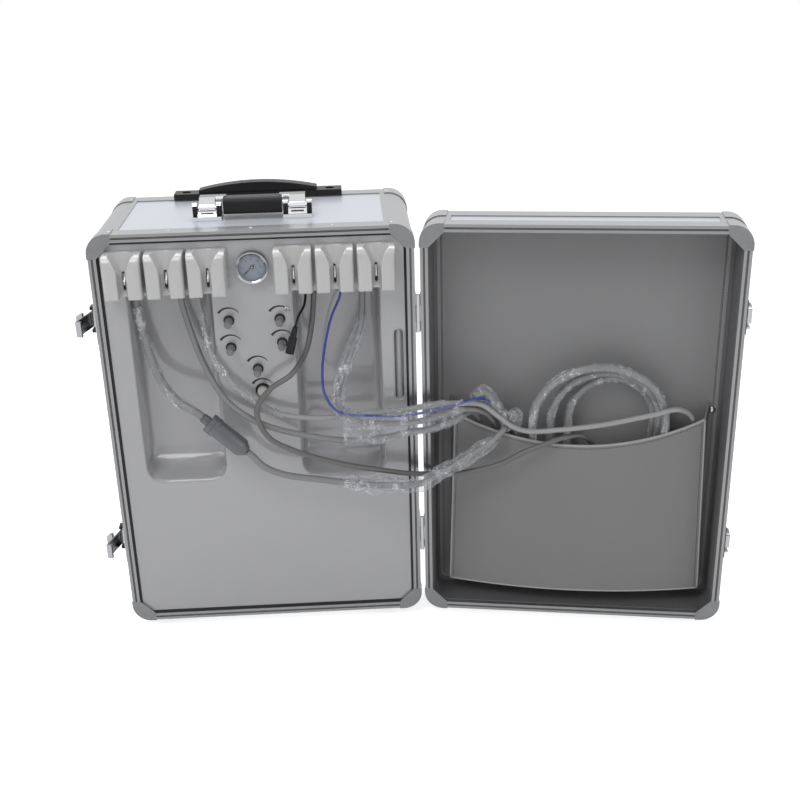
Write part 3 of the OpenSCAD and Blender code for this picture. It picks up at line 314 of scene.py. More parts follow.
def grain_group():
    """Fine noise and coarse noise on the given vector, mixed by a share."""
    group = bpy.data.node_groups.new("fine_grain", "ShaderNodeTree")
    face = group.interface
    face.new_socket("Vector", in_out="INPUT", socket_type="NodeSocketVector")
    for name, value in (("Fine", 900.0), ("Coarse", 18.0), ("Share", 0.5)):
        socket = face.new_socket(name, in_out="INPUT", socket_type="NodeSocketFloat")
        socket.default_value = value
    face.new_socket("Grain", in_out="OUTPUT", socket_type="NodeSocketFloat")
    start, end = group.nodes.new("NodeGroupInput"), group.nodes.new("NodeGroupOutput")
    fine, coarse = [add(group, "TexNoise", {"Vector": start.outputs["Vector"],
                                            "Scale": start.outputs[scale], "Detail": detail})
                    for scale, detail in (("Fine", 3), ("Coarse", 4))]
    mix = add(group, "Mix", {"Factor": start.outputs["Share"], "A": fine.outputs["Fac"],
                             "B": coarse.outputs["Fac"]})
    group.links.new(mix.outputs["Result"], end.inputs["Grain"])
    return group


GRAIN = grain_group()


def surface(name, color, rough, metal=0.0, fine=900.0, coarse=18.0, share=0.5, tint=0.06,
            rough_spread=0.08, bump=0.05, stretch=(1, 1, 1), coat=0.0, alpha=1.0,
            specular=0.5, sheen=0.0, edge=0.0):
    """A Principled material whose colour, roughness and bump follow the grain: the colour
    goes from color (1 - tint) to color (1 + tint). With edge, the colour also darkens by
    that share where the surface turns away: a painted dark reflection, as polished metal
    shows in a dark room."""
    material = bpy.data.materials.new(name)
    material.use_nodes = True
    tree = material.node_tree
    shader = tree.nodes["Principled BSDF"]
    for key, value in {"Metallic": metal, "Coat Weight": coat, "Coat Roughness": 0.04,
                       "Alpha": alpha, "Specular IOR Level": specular,
                       "Sheen Weight": sheen}.items():
        shader.inputs[key].default_value = value
    place = add(tree, "TexCoord")
    spread = add(tree, "Mapping", {"Vector": place.outputs["Object"], "Scale": stretch})
    grain = add(tree, "Group", {"Vector": spread.outputs["Vector"], "Fine": fine,
                                "Coarse": coarse, "Share": share}, node_tree=GRAIN)
    value = grain.outputs["Grain"]
    dark, light = [(*[min(1, c * (1 + way * tint)) for c in color], 1) for way in (-1, 1)]
    shade = add(tree, "Mix", {"Factor": value, "A": dark, "B": light}, data_type="RGBA")
    # Painted dark reflection: the colour darkens by the edge share where the surface turns away
    # from the view.
    if edge:
        facing = add(tree, "LayerWeight", {"Blend": 0.55})
        shade = add(tree, "Mix", {"Factor": facing.outputs["Facing"],
                                  "A": shade.outputs["Result"], "B": (*[1 - edge] * 3, 1)},
                    data_type="RGBA", blend_type="MULTIPLY")
    gloss = add(tree, "MapRange", {"Value": value, "To Min": max(0.02, rough - rough_spread),
                                   "To Max": min(1, rough + rough_spread)})
    relief = add(tree, "Bump", {"Height": value, "Strength": bump, "Distance": 0.0004})
    for key, socket in (("Base Color", shade.outputs["Result"]),
                        ("Roughness", gloss.outputs["Result"]),
                        ("Normal", relief.outputs["Normal"])):
        tree.links.new(socket, shader.inputs[key])
    return material


def dress(node, material, width=0, segments=3):
    """Gives a CAD node one material and, with a width in mm, rounded edges."""
    mesh = NODES[node].data
    mesh.materials.clear()
    mesh.materials.append(material)
    return bevelled(node, width, segments) if width else NODES[node]


# %% [markdown]
# The leatherette has rounded pebbles with dark creases between them, from a
# smooth Voronoi pattern over a soft large-scale tone. The film could be a real
# glass with refraction, but that renders slowly and hides the hose; here its
# alpha follows the creases instead, which paints part of its highlights, and
# fine near-white specks on the creases are painted glints.

# %% Leatherette and film
def leatherette(name, color, pebble=650.0, bump=0.35, rough=0.55):
    """Pebbles whose height falls with the distance from their cell's centre."""
    material = surface(name, color, rough, fine=1200, coarse=7, share=0.6, tint=0.10,
                       bump=0.0, specular=0.35, sheen=0.05)
    tree = material.node_tree
    place, relief = tree.nodes["Texture Coordinate"], tree.nodes["Bump"]
    cells = add(tree, "TexVoronoi", {"Vector": place.outputs["Object"], "Scale": pebble,
                                     "Smoothness": 0.6}, feature="SMOOTH_F1")
    relief.inputs["Strength"].default_value = bump
    relief.invert = True
    tree.links.new(cells.outputs["Distance"], relief.inputs["Height"])
    return material


def film_material(name, low, high):
    """Clear crinkled film: see-through where it lies flat, whitish in its creases and
    where it turns away, which is partly the film's own clouding and partly painted
    highlight; fine near-white specks on the creases are painted glints.
    alpha = crease + 0.45 facing + 1.6 (crease * glint)."""
    material = surface(name, (0.66, 0.675, 0.70), 0.10, fine=150, coarse=45, share=0.5,
                       tint=0.2, bump=0.55, specular=0.8, stretch=(1.0, 1.0, 0.55))
    tree = material.node_tree
    shader, place = tree.nodes["Principled BSDF"], tree.nodes["Texture Coordinate"]
    tree.nodes["Bump"].inputs["Distance"].default_value = 0.003
    crease = add(tree, "MapRange", {"Value": tree.nodes["Group"].outputs["Grain"],
                                    "From Min": 0.50, "From Max": 0.66,
                                    "To Min": low, "To Max": high}).outputs["Result"]
    edge = add(tree, "LayerWeight", {"Blend": 0.3})
    cloudy = add(tree, "Math", {0: edge.outputs["Facing"], 1: 0.45, 2: crease},
                 operation="MULTIPLY_ADD", use_clamp=True)
    # Painted glints: where a fine noise peaks on a crease, the film turns near-white and opaque.
    glint_noise = add(tree, "TexNoise", {"Vector": place.outputs["Object"], "Scale": 430.0,
                                    "Detail": 1.0})
    glint = add(tree, "MapRange", {"Value": glint_noise.outputs["Fac"], "From Min": 0.60,
                                   "From Max": 0.67})
    painted_glint = add(tree, "Math", {0: glint.outputs["Result"], 1: crease},
                operation="MULTIPLY").outputs["Value"]
    opaque = add(tree, "Math", {0: painted_glint, 1: 1.6, 2: cloudy.outputs["Value"]},
                 operation="MULTIPLY_ADD", use_clamp=True)
    bright = add(tree, "Mix", {"Factor": painted_glint, "B": (0.95, 0.96, 0.97, 1),
                               "A": shader.inputs["Base Color"].links[0].from_socket},
                 data_type="RGBA")
    tree.links.new(opaque.outputs["Value"], shader.inputs["Alpha"])
    tree.links.new(bright.outputs["Result"], shader.inputs["Base Color"])
    return material


# %% The unit's materials
LAMINATE = surface("laminate", (0.56, 0.585, 0.63), 0.36, metal=0.35, fine=1500, coarse=9,
                   tint=0.05, bump=0.05, coat=0.1)
# Painted dark reflection: where a metal has an edge share, its colour darkens by it where the
# surface turns away.
SATIN = surface("satin_extrusion", (0.56, 0.565, 0.575), 0.34, metal=0.9, fine=700, coarse=40,
                tint=0.10, bump=0.06, stretch=(1, 1, 0.2), edge=0.35)
# Painted shade: darker copies of the rim and corner metals, for the faces of the rims and corner
# caps that look forward.
SATIN_FRONT_SHADE = surface("satin_front_painted_shade", (0.27, 0.272, 0.275), 0.32, metal=0.9, fine=700, coarse=40,
               tint=0.12, bump=0.06, edge=0.3)
CAP_FRONT_SHADE = surface("cap_front_painted_shade", (0.20, 0.202, 0.206), 0.26, metal=1.0, fine=500, coarse=60,
                  tint=0.3, bump=0.08, edge=0.2)
CHROME = surface("chrome", (0.42, 0.43, 0.445), 0.15, metal=1.0, fine=400, coarse=30,
                 tint=0.12, rough_spread=0.06, bump=0.04, edge=0.85)
BRIGHT = surface("bright_chrome", (0.80, 0.81, 0.83), 0.10, metal=1.0, fine=400, coarse=40,
                 tint=0.10, rough_spread=0.05, bump=0.03, edge=0.95)
STEEL = surface("brushed_steel", (0.45, 0.45, 0.46), 0.32, metal=1.0, fine=900, coarse=60,
                stretch=(0.1, 1, 1), tint=0.12, bump=0.1)
FRONT = surface("white_moulding", (0.43, 0.43, 0.44), 0.16, fine=1100, coarse=6, tint=0.02,
                rough_spread=0.05, bump=0.02, coat=0.6)
HOLDER = surface("holder_white", (0.57, 0.57, 0.56), 0.2, fine=1100, coarse=14, tint=0.02,
                 rough_spread=0.05, bump=0.02, coat=0.5)
KNOB = surface("knob_grey", (0.20, 0.20, 0.21), 0.42, fine=1300, coarse=90, tint=0.12, bump=0.1)
BLACK = surface("black_plastic", (0.009, 0.009, 0.010), 0.38, fine=1400, coarse=50, tint=0.25,
                bump=0.12, specular=0.28)
INK = surface("black_print", (0.012, 0.012, 0.014), 0.5, fine=1500, coarse=80, tint=0.3,
              bump=0.0)
RUBBER = surface("rubber", (0.02, 0.02, 0.022), 0.6, fine=900, coarse=40, tint=0.3, bump=0.15)
SEAL = surface("seal_rubber", (0.11, 0.11, 0.115), 0.55, fine=1200, coarse=60, tint=0.2,
               bump=0.1)
LINING = leatherette("lining_leatherette", (0.27, 0.27, 0.272))
WALL_LINING = leatherette("wall_leatherette", (0.12, 0.12, 0.124))
POCKET = leatherette("pocket_leatherette", (0.235, 0.235, 0.233), pebble=520, bump=0.4)
# Painted highlight: the binding is a lighter copy of the leatherette, for the light along its
# rolled edges.
BINDING = leatherette("binding_painted_highlight", (0.42, 0.42, 0.415), pebble=900, bump=0.25,
                      rough=0.4)
THREAD = surface("thread", (0.06, 0.06, 0.06), 0.7, fine=2500, coarse=200, tint=0.2, bump=0.3)
HOSE = surface("hose_grey", (0.25, 0.25, 0.255), 0.38, fine=900, coarse=24, tint=0.10, bump=0.05,
               coat=0.1)
PALE_HOSE = surface("hose_pale", (0.36, 0.36, 0.35), 0.36, fine=900, coarse=24, tint=0.06,
                    bump=0.05, coat=0.1)
DARK_HOSE = surface("hose_dark", (0.15, 0.147, 0.142), 0.4, fine=900, coarse=24, tint=0.10,
                    bump=0.05)
STRAINER = surface("strainer_grey", (0.115, 0.12, 0.13), 0.25, fine=900, coarse=60, tint=0.1,
                   bump=0.05, coat=0.3)
BLUE = surface("hose_blue", (0.02, 0.045, 0.36), 0.3, fine=900, coarse=60, tint=0.1, bump=0.03,
               coat=0.2)
BEIGE = surface("button_beige", (0.55, 0.53, 0.49), 0.4, fine=1200, coarse=60, tint=0.05, bump=0.08)
DIAL = surface("dial_paper", (0.27, 0.32, 0.385), 0.5, fine=1600, coarse=50, tint=0.04, bump=0.02)
GLASS = surface("gauge_glass", (0.95, 0.97, 1.0), 0.04, rough_spread=0.02, fine=300, coarse=20,
                tint=0.01, bump=0.0, alpha=0.05, specular=0.2)
CLEAR = surface("clear_tube", (0.62, 0.64, 0.62), 0.12, rough_spread=0.04, fine=500, coarse=30,
                tint=0.05, bump=0.02, alpha=0.45, specular=0.8)
# Painted shade: near-black for hollows, such as the screws' crosses, the plate's slot and the ring
# round each knob.
SHADE = surface("painted_shade_dark", (0.03, 0.03, 0.03), 0.8, fine=600, coarse=30, tint=0.2, bump=0.05)
MACHINE = surface("machine_grey", (0.16, 0.165, 0.18), 0.45, metal=0.4, fine=700, coarse=25,
                  tint=0.12, bump=0.12)
BOTTLE = surface("bottle_plastic", (0.7, 0.73, 0.75), 0.3, fine=700, coarse=30, tint=0.05,
                 bump=0.04, alpha=0.7)
FILM = film_material("clear_film", 0.10, 0.65)
LOOSE_FILM = film_material("loose_film", 0.12, 0.5)
print("materials:", len(bpy.data.materials))

# %% [markdown]
# ## Hoses
#
# The routes repeat the source's listed points in its own millimetres. A
# route has its points in the case first and then those in the lid. The hoses
# could be simulated as ropes, but the photo shows where each one lies, so they
# are traced. A hose that crosses the hinge rides on neither body.

# %% Hose routes, repeated from the source
GLAND_Z = 462
STRAINER_FROM, STRAINER_TO = Vector((124, -18, 312)), Vector((177, -26, 265))
STRAINER_LEAD = (STRAINER_TO - STRAINER_FROM) / 8
PLUG_FROM, PLUG_TO = Vector((249, -22, 431)), Vector((240, -27, 398))
PLUG_LEAD = (PLUG_TO - PLUG_FROM) / 7
SUCTION_UP = [(48, 24, GLAND_Z), (48, 24, 456), (52, 23, 420), (59, 18, 387), (72, 8, 353),
              (90, -6, 333), STRAINER_FROM - STRAINER_LEAD, STRAINER_FROM]
SUCTION_CASE = [STRAINER_TO, STRAINER_TO + STRAINER_LEAD, (197, -28, 244), (222, -30, 232),
                (276, -34, 223), (347, -38, 214), (400, -38, 214)]
SUCTION_LID = [(16, -27, 218), (37, -18, 228), (62, -9, 242), (88, -1, 257), (104, 8, 271),
               (112, 23, 276), (117, 35, 257), (118, 42, 215), (118, 42, 150), (118, 42, 78)]
HOSE_A_CASE = [(105, 25, GLAND_Z), (105, 25, 456), (113, 22, 417), (127, 10, 377),
               (149, -6, 337), (171, -14, 316), (208, -20, 296), (298, -24, 275),
               (349, -26, 276), (388, -28, 284)]
HOSE_A_LID = [(12, -26, 287), (36, -16, 292), (56, 4, 297), (67, 24, 291), (73, 36, 268),
              (76, 40, 225), (76, 40, 150), (76, 40, 78)]
HOSE_B_CASE = [(127, 25, GLAND_Z), (127, 25, 456), (132, 18, 420), (140, -2, 392),
               (158, -8, 362), (191, -11, 328), (222, -14, 311), (267, -14, 303),
               (312, -15, 305), (389, -18, 312)]
HOSE_B_LID = [(12, -15, 315), (43, -9, 316), (75, 3, 311), (98, 8, 293), (118, 8, 278),
              (139, 8, 272), (179, 7, 276), (230, 7, 284), (268, 9, 292), (300, 10, 300),
              (328, 18, 304), (348, 32, 289), (354, 43, 255), (354, 46, 180), (354, 46, 42)]
HOSE_C_CASE = [(272, 30, GLAND_Z), (272, 30, 456), (268, 26, 420), (259, 3, 388), (240, -23, 368),
               (212, -26, 350), (194, -27, 322), (206, -36, 290), (240, -37, 268),
               (300, -36, 246), (350, -26, 230), (388, -16, 218)]
HOSE_C_LID = [(10, -9, 214), (39, -7, 214), (69, -5, 219), (102, -4, 229), (134, -2, 247),
              (160, 2, 257), (184, 9, 264), (208, 21, 262), (226, 31, 240), (235, 34, 200),
              (237, 34, 130), (237, 34, 60)]
SYRINGE_CASE = [(334, 25, GLAND_Z), (334, 25, 456), (330, 22, 415), (315, 12, 378), (301, -4, 346),
                (299, -22, 322), (318, -30, 307), (344, -31, 300), (388, -32, 299)]
SYRINGE_LID = [(12, -25, 301), (40, -14, 307), (66, 5, 303), (86, 22, 288), (95, 34, 262),
               (98, 40, 220), (98, 40, 150), (98, 40, 78)]
CABLE = [(262, 18, GLAND_Z), (262, 18, 457), (260, 6, 449), (254, -12, 443),
         PLUG_FROM - PLUG_LEAD, PLUG_FROM]
BLUE_CASE = [(306, 20, GLAND_Z), (306, 20, 457), (293, 12, 429), (284, 6, 395), (279, 0, 364),
             (281, -16, 336), (298, -36, 320), (345, -41, 314), (388, -40, 313)]
BLUE_LID = [(12, -33, 315), (43, -21, 319), (70, -5, 322), (86, 13, 312), (96, 29, 290),
            (107, 46, 250), (107, 51, 200), (107, 51, 60)]


def route(in_case, in_lid=()):
    """One smooth path through points of the case and then points of the lid."""
    return smooth_path([case(*p) for p in in_case] + [lid(*p) for p in in_lid])


def bend(obj):
    """Bakes the piece's place into its mesh; it rides on no body."""
    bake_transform(obj)
    return obj


def hose(name, path, radius, material, nodes, far_end="object", crosses=True, **facts):
    """A hose along its path, on the case, or on no body where it crosses the hinge; the CAD nodes
    it replaces are hidden.
    """
    obj = tube(name, path, radius, material, None if crosses else "case")
    if crosses:
        bend(obj)
    if nodes:
        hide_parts(*nodes)
    return obj


# %% Hose paths
PATHS = {
    "suction_up": route(SUCTION_UP),
    "suction_low": route(SUCTION_CASE, SUCTION_LID),
    "hose_a": route(HOSE_A_CASE, HOSE_A_LID),
    "hose_b": route(HOSE_B_CASE, HOSE_B_LID),
    "hose_c": route(HOSE_C_CASE, HOSE_C_LID),
    "syringe": route(SYRINGE_CASE, SYRINGE_LID),
    "cable": route(CABLE),
    "blue": route(BLUE_CASE, BLUE_LID),
}
for name, path in PATHS.items():
    print(name, round(length_of(path), 3), "m")

# %% [markdown]
# The hoses are new and still in their clear film. A cloth simulation could fold
# it, but wouldn't repeat exactly. So a sleeve of film is a tube whose radius
# wanders: `r (1 + amount (folds + creases))`, where the folds are a few long
# waves that run round and along it and the creases are short sharp ones.

# %% Film sleeves
def crinkle(rows, sides, seed, fold_len=9.0):
    """Waves over a closed grid, about -1 to 1: 0.65 times a third of the sum of eight
    sines, plus 0.8 (0.5 - |a wandering sine|), which is sharp at its tops."""
    rng = np.random.default_rng(seed)
    i, j = np.meshgrid(np.arange(rows), np.arange(sides), indexing="ij")
    around = 2 * np.pi * j / sides
    total = np.zeros((rows, sides))
    for k in range(8):
        turns = rng.integers(1, 4)
        wave = 2 * np.pi * i / (fold_len * rng.uniform(1.2, 4.0))
        total += np.sin(turns * around + wave * rng.choice([-1, 1]) + rng.uniform(0, 6.3)) / 3
    drift = 1.9 * np.sin(i * 0.13 + rng.uniform(0, 6.3))
    creases = np.abs(np.sin(1.5 * around + i * 0.21 + drift))
    return 0.65 * total + 0.8 * (0.5 - creases)


def film_sleeve(name, path, radius, body, amount=0.28, seed=1, sides=22, material=FILM):
    """A sleeve of crinkled film round a path; a body of None leaves it on no body, its place baked
    into its mesh.
    """
    rows = len(path)
    reach = radii(radius, rows, sides) * (1 + amount * crinkle(rows, sides, seed))
    points = tube_points(path, reach, sides)
    faces = [tuple(reversed(f)) for f in grid_faces(rows, sides, close_cols=True)]
    obj = piece(name, points.reshape(-1, 3), faces, material, body)
    return obj if body else bend(obj)


def part_of(path, low, high, step=0.0022):
    """The stretch of a path between two shares of its length, evenly resampled."""
    run = run_along(path)
    count = max(6, int((high - low) * run[-1] / step))
    return points_at(path, run, np.linspace(low * run[-1], high * run[-1], count))


def swell(count, ends, middle, start=0.12, stop=0.12):
    """Radii that rise from the ends' value to the middle's, as the square root of the
    way through the given shares."""
    t = np.linspace(0, 1, count)
    rise = np.clip(t / start, 0, 1) * np.clip((1 - t) / stop, 0, 1)
    return ends + (middle - ends) * np.sqrt(rise)


def bundle_sleeve(name, paths, hose_radii, low, high, seed):
    """One wide sleeve round several hoses between two x places: at each x its reach in a
    direction is the farthest of the hoses' own edges, plus the film's slack."""
    spacing, slack, fold, sides = 0.0025, 0.0012, 0.0016, 30
    xs = np.arange(low, high, spacing)
    turn = np.linspace(0, 2 * np.pi, sides, endpoint=False)
    ways = np.column_stack([np.cos(turn), np.sin(turn)])
    cross = []
    for path in paths:
        last = len(path) - 1 - np.argmax(path[::-1, 0] < low)
        run_on = path[last:]
        order = np.maximum.accumulate(run_on[:, 0])
        cross.append(np.column_stack([np.interp(xs, order, run_on[:, k]) for k in (1, 2)]))
    cross = np.array(cross)
    centre = (cross.min(axis=0) + cross.max(axis=0)) / 2
    reach = np.max(np.einsum("hnk,sk->hns", cross - centre, ways)
                   + np.array(hose_radii)[:, None, None], axis=0)
    waves = crinkle(len(xs), sides, seed, 14)
    reach = reach + slack + fold * waves
    points = np.empty((len(xs), sides, 3))
    points[:, :, 0] = xs[:, None] + fold / 2 * waves
    points[:, :, 1] = centre[:, :1] + reach * ways[None, :, 0]
    points[:, :, 2] = centre[:, 1:] + reach * ways[None, :, 1]
    return bend(piece(name, points.reshape(-1, 3), grid_faces(len(xs), sides, close_cols=True),
                      LOOSE_FILM, None))


up_film = film_sleeve("film_suction_up", part_of(PATHS["suction_up"], 0.06, 0.93), 0.0066,
                      "case", 0.16, 3)
low_path = part_of(PATHS["suction_low"], 0.24, 0.60)
low_film = film_sleeve("film_suction_low", low_path,
                       swell(len(low_path), 0.0052, 0.0098, 0.5, 0.06), None, 0.24, 5,
                       material=LOOSE_FILM)
knot_path = part_of(PATHS["suction_low"], 0.225, 0.375)
knot_film = film_sleeve("film_knot", knot_path, swell(len(knot_path), 0.005, 0.0108, 0.25, 0.3),
                        None, 0.42, 11)
second_film = film_sleeve("film_second", part_of(PATHS["hose_b"], 0.02, 0.2), 0.0048, "case",
                          0.2, 17)
syringe_path = part_of(PATHS["syringe"], 0.05, 0.36)
syringe_film = film_sleeve("film_syringe", syringe_path,
                           swell(len(syringe_path), 0.0055, 0.0088, 0.3, 0.3), "case", 0.26, 7)
bundle_film = bundle_sleeve(
    "film_bundle", [PATHS["hose_a"], PATHS["hose_b"], PATHS["syringe"], PATHS["blue"]],
    [0.004, 0.0035, 0.004, 0.0016], case(303, 0, 0)[0], lid(54, 0, 0)[0], 23)
BULBS = [((62, 5, 318), (80, 17, 322), (92, 20, 303), (106, 20, 285), (112, 24, 268)),
         ((118, 16, 300), (122, 20, 284), (122, 26, 262))]
bulb_pieces = []
for i, places in enumerate(BULBS):
    line = smooth_path([lid(*p) for p in places], 0.0022)
    share = np.linspace(0, 1, len(line))
    bulge = np.interp(share, [0, 0.06, 0.2, 0.5, 1], [0.002, 0.0085, 0.0115, 0.0095, 0.007])
    bulb_pieces.append(film_sleeve(f"film_bulb_{i}", line, bulge * (1 - 0.2 * i), "lid", 0.24,
                                   31 + i))
    bulb_pieces.append(tube(f"wrapped_end_{i}", line[3:-2], 0.0062 * (1 - 0.25 * i), HOSE,
                            "lid"))

# %% The hoses along their paths
hose("suction_hose_up", PATHS["suction_up"], 0.0052, HOSE, ["suction_hose_upper"],
     crosses=False, with_pieces=[up_film])
hose("suction_hose_low", PATHS["suction_low"], 0.0044, HOSE, ["suction_hose_lower"],
     with_pieces=[low_film, knot_film])
hose("hose_first", PATHS["hose_a"], 0.004, HOSE, ["instrument_hoses"],
     with_pieces=[bundle_film] + bulb_pieces)
hose("hose_second", PATHS["hose_b"], 0.0035, PALE_HOSE, [], with_pieces=[second_film])
hose("hose_third", PATHS["hose_c"], 0.0035, DARK_HOSE, [])
hose("hose_syringe", PATHS["syringe"], 0.004, HOSE, ["syringe_hose"], with_pieces=[syringe_film])
hose("cable_lamp", PATHS["cable"], 0.0016, BLACK, ["lamp_cable"], crosses=False)
hose("tube_blue", PATHS["blue"], 0.0016, BLUE, ["blue_tube"])
print("hoses done")

# %% [markdown]
# The looped hose lies in the pocket. Three separate rings would look much the
# same, but it is one unbroken tube whose turns shrink and step back into the
# lid, worked out from the turn, as in the source:
# each point is `start + drift * turn + (a cos angle, pitch * turn, up sin angle)`.

# %% Looped hose
LOOP_TURNS, LOOP_RINGS, LOOP_PITCH, LOOP_R = 3, 96, 10.8, 5
LOOP_START, LOOP_DRIFT = (229, 18.6, 285), (8, -3)
LOOP_A, LOOP_UP, POCKET_FLOOR = (91, -15), (78, -8), 33


def loop_point(turn):
    """The point after so many turns; the lower half of a turn keeps off the floor."""
    angle = math.radians(-90 - 360 * turn)
    low = LOOP_START[2] - POCKET_FLOOR - LOOP_R - 0.3
    rise = (LOOP_UP[0] + LOOP_UP[1] * turn if math.sin(angle) > 0
            else low + LOOP_DRIFT[1] * turn)
    return lid(LOOP_START[0] + LOOP_DRIFT[0] * turn
               + (LOOP_A[0] + LOOP_A[1] * turn) * math.cos(angle),
               LOOP_START[1] + LOOP_PITCH * turn,
               LOOP_START[2] + LOOP_DRIFT[1] * turn + rise * math.sin(angle))


loops_path = np.array([tuple(loop_point(i / LOOP_RINGS))
                       for i in range(LOOP_TURNS * LOOP_RINGS + 1)])
loops = tube("hose_looped", loops_path, LOOP_R * MM, HOSE, "lid", sides=14)
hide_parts("hose_loops")
for i, (low, high) in enumerate(((0.0, 0.335), (0.345, 0.66), (0.68, 0.99))):
    film_sleeve(f"film_loops_{i}", part_of(loops_path, low, high), 0.0061, "lid",
                                   0.15, 41 + i, sides=16)
print("loops", round(length_of(loops_path), 2), "m")

# %% [markdown]
# ## Light, floor and background
#
# A plain pale floor, and a background that is white for what is seen straight or
# in a reflection and light grey for everything that it lights. An image of a
# studio could light it too, but wouldn't be as even as the photo. The lamps are
# a wide soft panel above and to the left, a weaker one at the right and a long
# one behind, for the bright lines along the rims.

# %% Floor, world and lights
def seen_directly(tree):
    """1 for camera, glossy and transmission rays, which should find the background."""
    ray = add(tree, "LightPath")
    total = ray.outputs["Is Camera Ray"]
    for kind in ("Is Glossy Ray", "Is Transmission Ray"):
        more = add(tree, "Math", {0: total, 1: ray.outputs[kind]}, operation="MAXIMUM")
        total = more.outputs["Value"]
    return total


def stage_floor(glow=0.62, reach=6):
    """A wide pale floor under the feet; its glow is only seen, and lights nothing."""
    material = surface("floor_pale", (0.93, 0.93, 0.93), 0.75, fine=40, coarse=3, tint=0.01,
                       bump=0.0, specular=0.1)
    tree = material.node_tree
    shader = tree.nodes["Principled BSDF"]
    shader.inputs["Emission Color"].default_value = (1, 1, 1, 1)
    strength = add(tree, "Math", {0: seen_directly(tree), 1: glow}, operation="MULTIPLY")
    tree.links.new(strength.outputs["Value"], shader.inputs["Emission Strength"])
    points = [(-reach, -reach, 0), (reach, -reach, 0), (reach, reach, 0), (-reach, reach, 0)]
    floor = piece("floor", points, [(0, 1, 2, 3)], material, None, smooth=False)
    floor.location.z = -0.0005


def stage_world(light=0.42):
    """White where it is seen, a light grey for everything that it lights."""
    world = bpy.data.worlds.new("studio")
    bpy.context.scene.world = world
    world.use_nodes = True
    tree = world.node_tree
    back = tree.nodes["Background"]
    back.inputs["Color"].default_value = (0.96, 0.97, 1.0, 1)
    back.inputs["Strength"].default_value = light
    white = add(tree, "Background", {"Color": (1, 1, 1, 1), "Strength": 1.0})
    mix = add(tree, "MixShader", {"Fac": seen_directly(tree), 1: back.outputs["Background"],
                                  2: white.outputs["Background"]})
    tree.links.new(mix.outputs["Shader"], tree.nodes["World Output"].inputs["Surface"])


def soft_light(name, place, target, width, height, power):
    """A rectangular area light that faces a target."""
    data = bpy.data.lights.new(name, "AREA")
    data.shape = "RECTANGLE"
    data.size, data.size_y, data.energy = width, height, power
    light = bpy.data.objects.new(name, data)
    light.location = place
    light.rotation_euler = (Vector(target) - Vector(place)).to_track_quat("-Z", "Y").to_euler()
    bpy.context.collection.objects.link(light)


stage_floor()
stage_world()
MIDDLE = (-0.05, 0, 0.3)
soft_light("key", (-1.1, -1.3, 2.3), MIDDLE, 1.4, 1.0, 18)
soft_light("fill", (1.6, -1.9, 0.9), MIDDLE, 1.2, 1.2, 5)
soft_light("top", (-0.1, 0.5, 2.2), (-0.1, 0.05, 0.5), 2.4, 0.7, 20)
bpy.context.scene.view_settings.view_transform = "Standard"

# %% [markdown]
# ## Case
#
# The sheets, extrusions and pressed corners are right in the CAD model, so they
# keep their shape, get softened edges and a metal of their own, with painted
# shade: a darker copy of the metal on the faces that look forward. They could be
# built anew, but nothing would be won.
# Rivets become domes, and a rubber cord lies in the groove of each rim.

# %% Case shell
CAP_LEN, GROOVE_MID, GROOVE_DEEP = 30, 5, 1.1


def dress_where(node, base, other, test, width, segments=3):
    """A node in two finishes, with rounded edges: test takes each face's middle and its
    normal, in world axes, and says where the other one goes."""
    dress(node, base)
    mesh = NODES[node].data
    mesh.materials.append(other)
    place = NODES[node].matrix_world
    for face in mesh.polygons:
        face.material_index = int(test(place @ face.center, place.to_3x3() @ face.normal))
    return bevelled(node, width, segments)


for node in ("case_panels", "lid_panels"):
    dress(node, LAMINATE)
# Painted shade: faces that look forward get a darker copy of the metal.
for body, out in (("case", CASE_OUT), ("lid", LID_OUT)):
    for part, forward_shade, width, segments in (("frame", SATIN_FRONT_SHADE, 0.35, 2),
                                                ("corner_caps", CAP_FRONT_SHADE, 0.8, 3)):
        dress_where(f"{body}_{part}", SATIN, forward_shade,
                    lambda point, normal: normal.dot(out) > 0.5, width, segments)


def rivet(name, place, axis, body, radius=2.5):
    """A rivet head: a short rim, then (radius sin a, rim + rise (cos a - cos low)), a
    flattened dome, as a goes from low to 0."""
    rim, rise, low = 0.15, 0.75, 1.35
    dome = [(radius * math.sin(a), rim + rise * (math.cos(a) - math.cos(low)))
            for a in np.linspace(low, 0.0, 7)]
    return turned(name, [(radius, 0)] + dome, place, axis, STEEL, body, steps=20)


def case_rivet_places():
    """The source's rivets: three along each side, one on each face of a corner."""
    across = (CORNER_R + CAP_LEN) / 2
    for k in (0.25, 0.5, 0.75):
        yield (k * CASE_W, 14, CASE_H), (0, 0, 1)
        for y in (14, CASE_D - 12):
            yield (k * CASE_W, y, 0), (0, 0, -1)
            for x, way in ((0, -1), (CASE_W, 1)):
                if abs(k - 0.5) < 0.1:
                    yield (x, y, k * CASE_H), (way, 0, 0)
    for x, way in ((0, -1), (CASE_W, 1)):
        for k in (0.25, 0.75):
            yield (x, CASE_D - 12, k * CASE_H), (way, 0, 0)
    for y, levels in ((14, (0, 1)), (CASE_D - 14, (1,))):
        for right_side in (0, 1):
            for top in levels:
                x = CASE_W - across if right_side else across
                z = CASE_H - across if top else across
                yield (x, y, CASE_H + 1.2 if top else -1.2), (0, 0, 1 if top else -1)
                way = 1 if right_side else -1
                yield (CASE_W + 1.2 if right_side else -1.2, y, z), (way, 0, 0)


heads = [rivet(f"rivet_{i}", case(*place), axis, "case")
         for i, (place, axis) in enumerate(case_rivet_places())]
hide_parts("case_rivets")


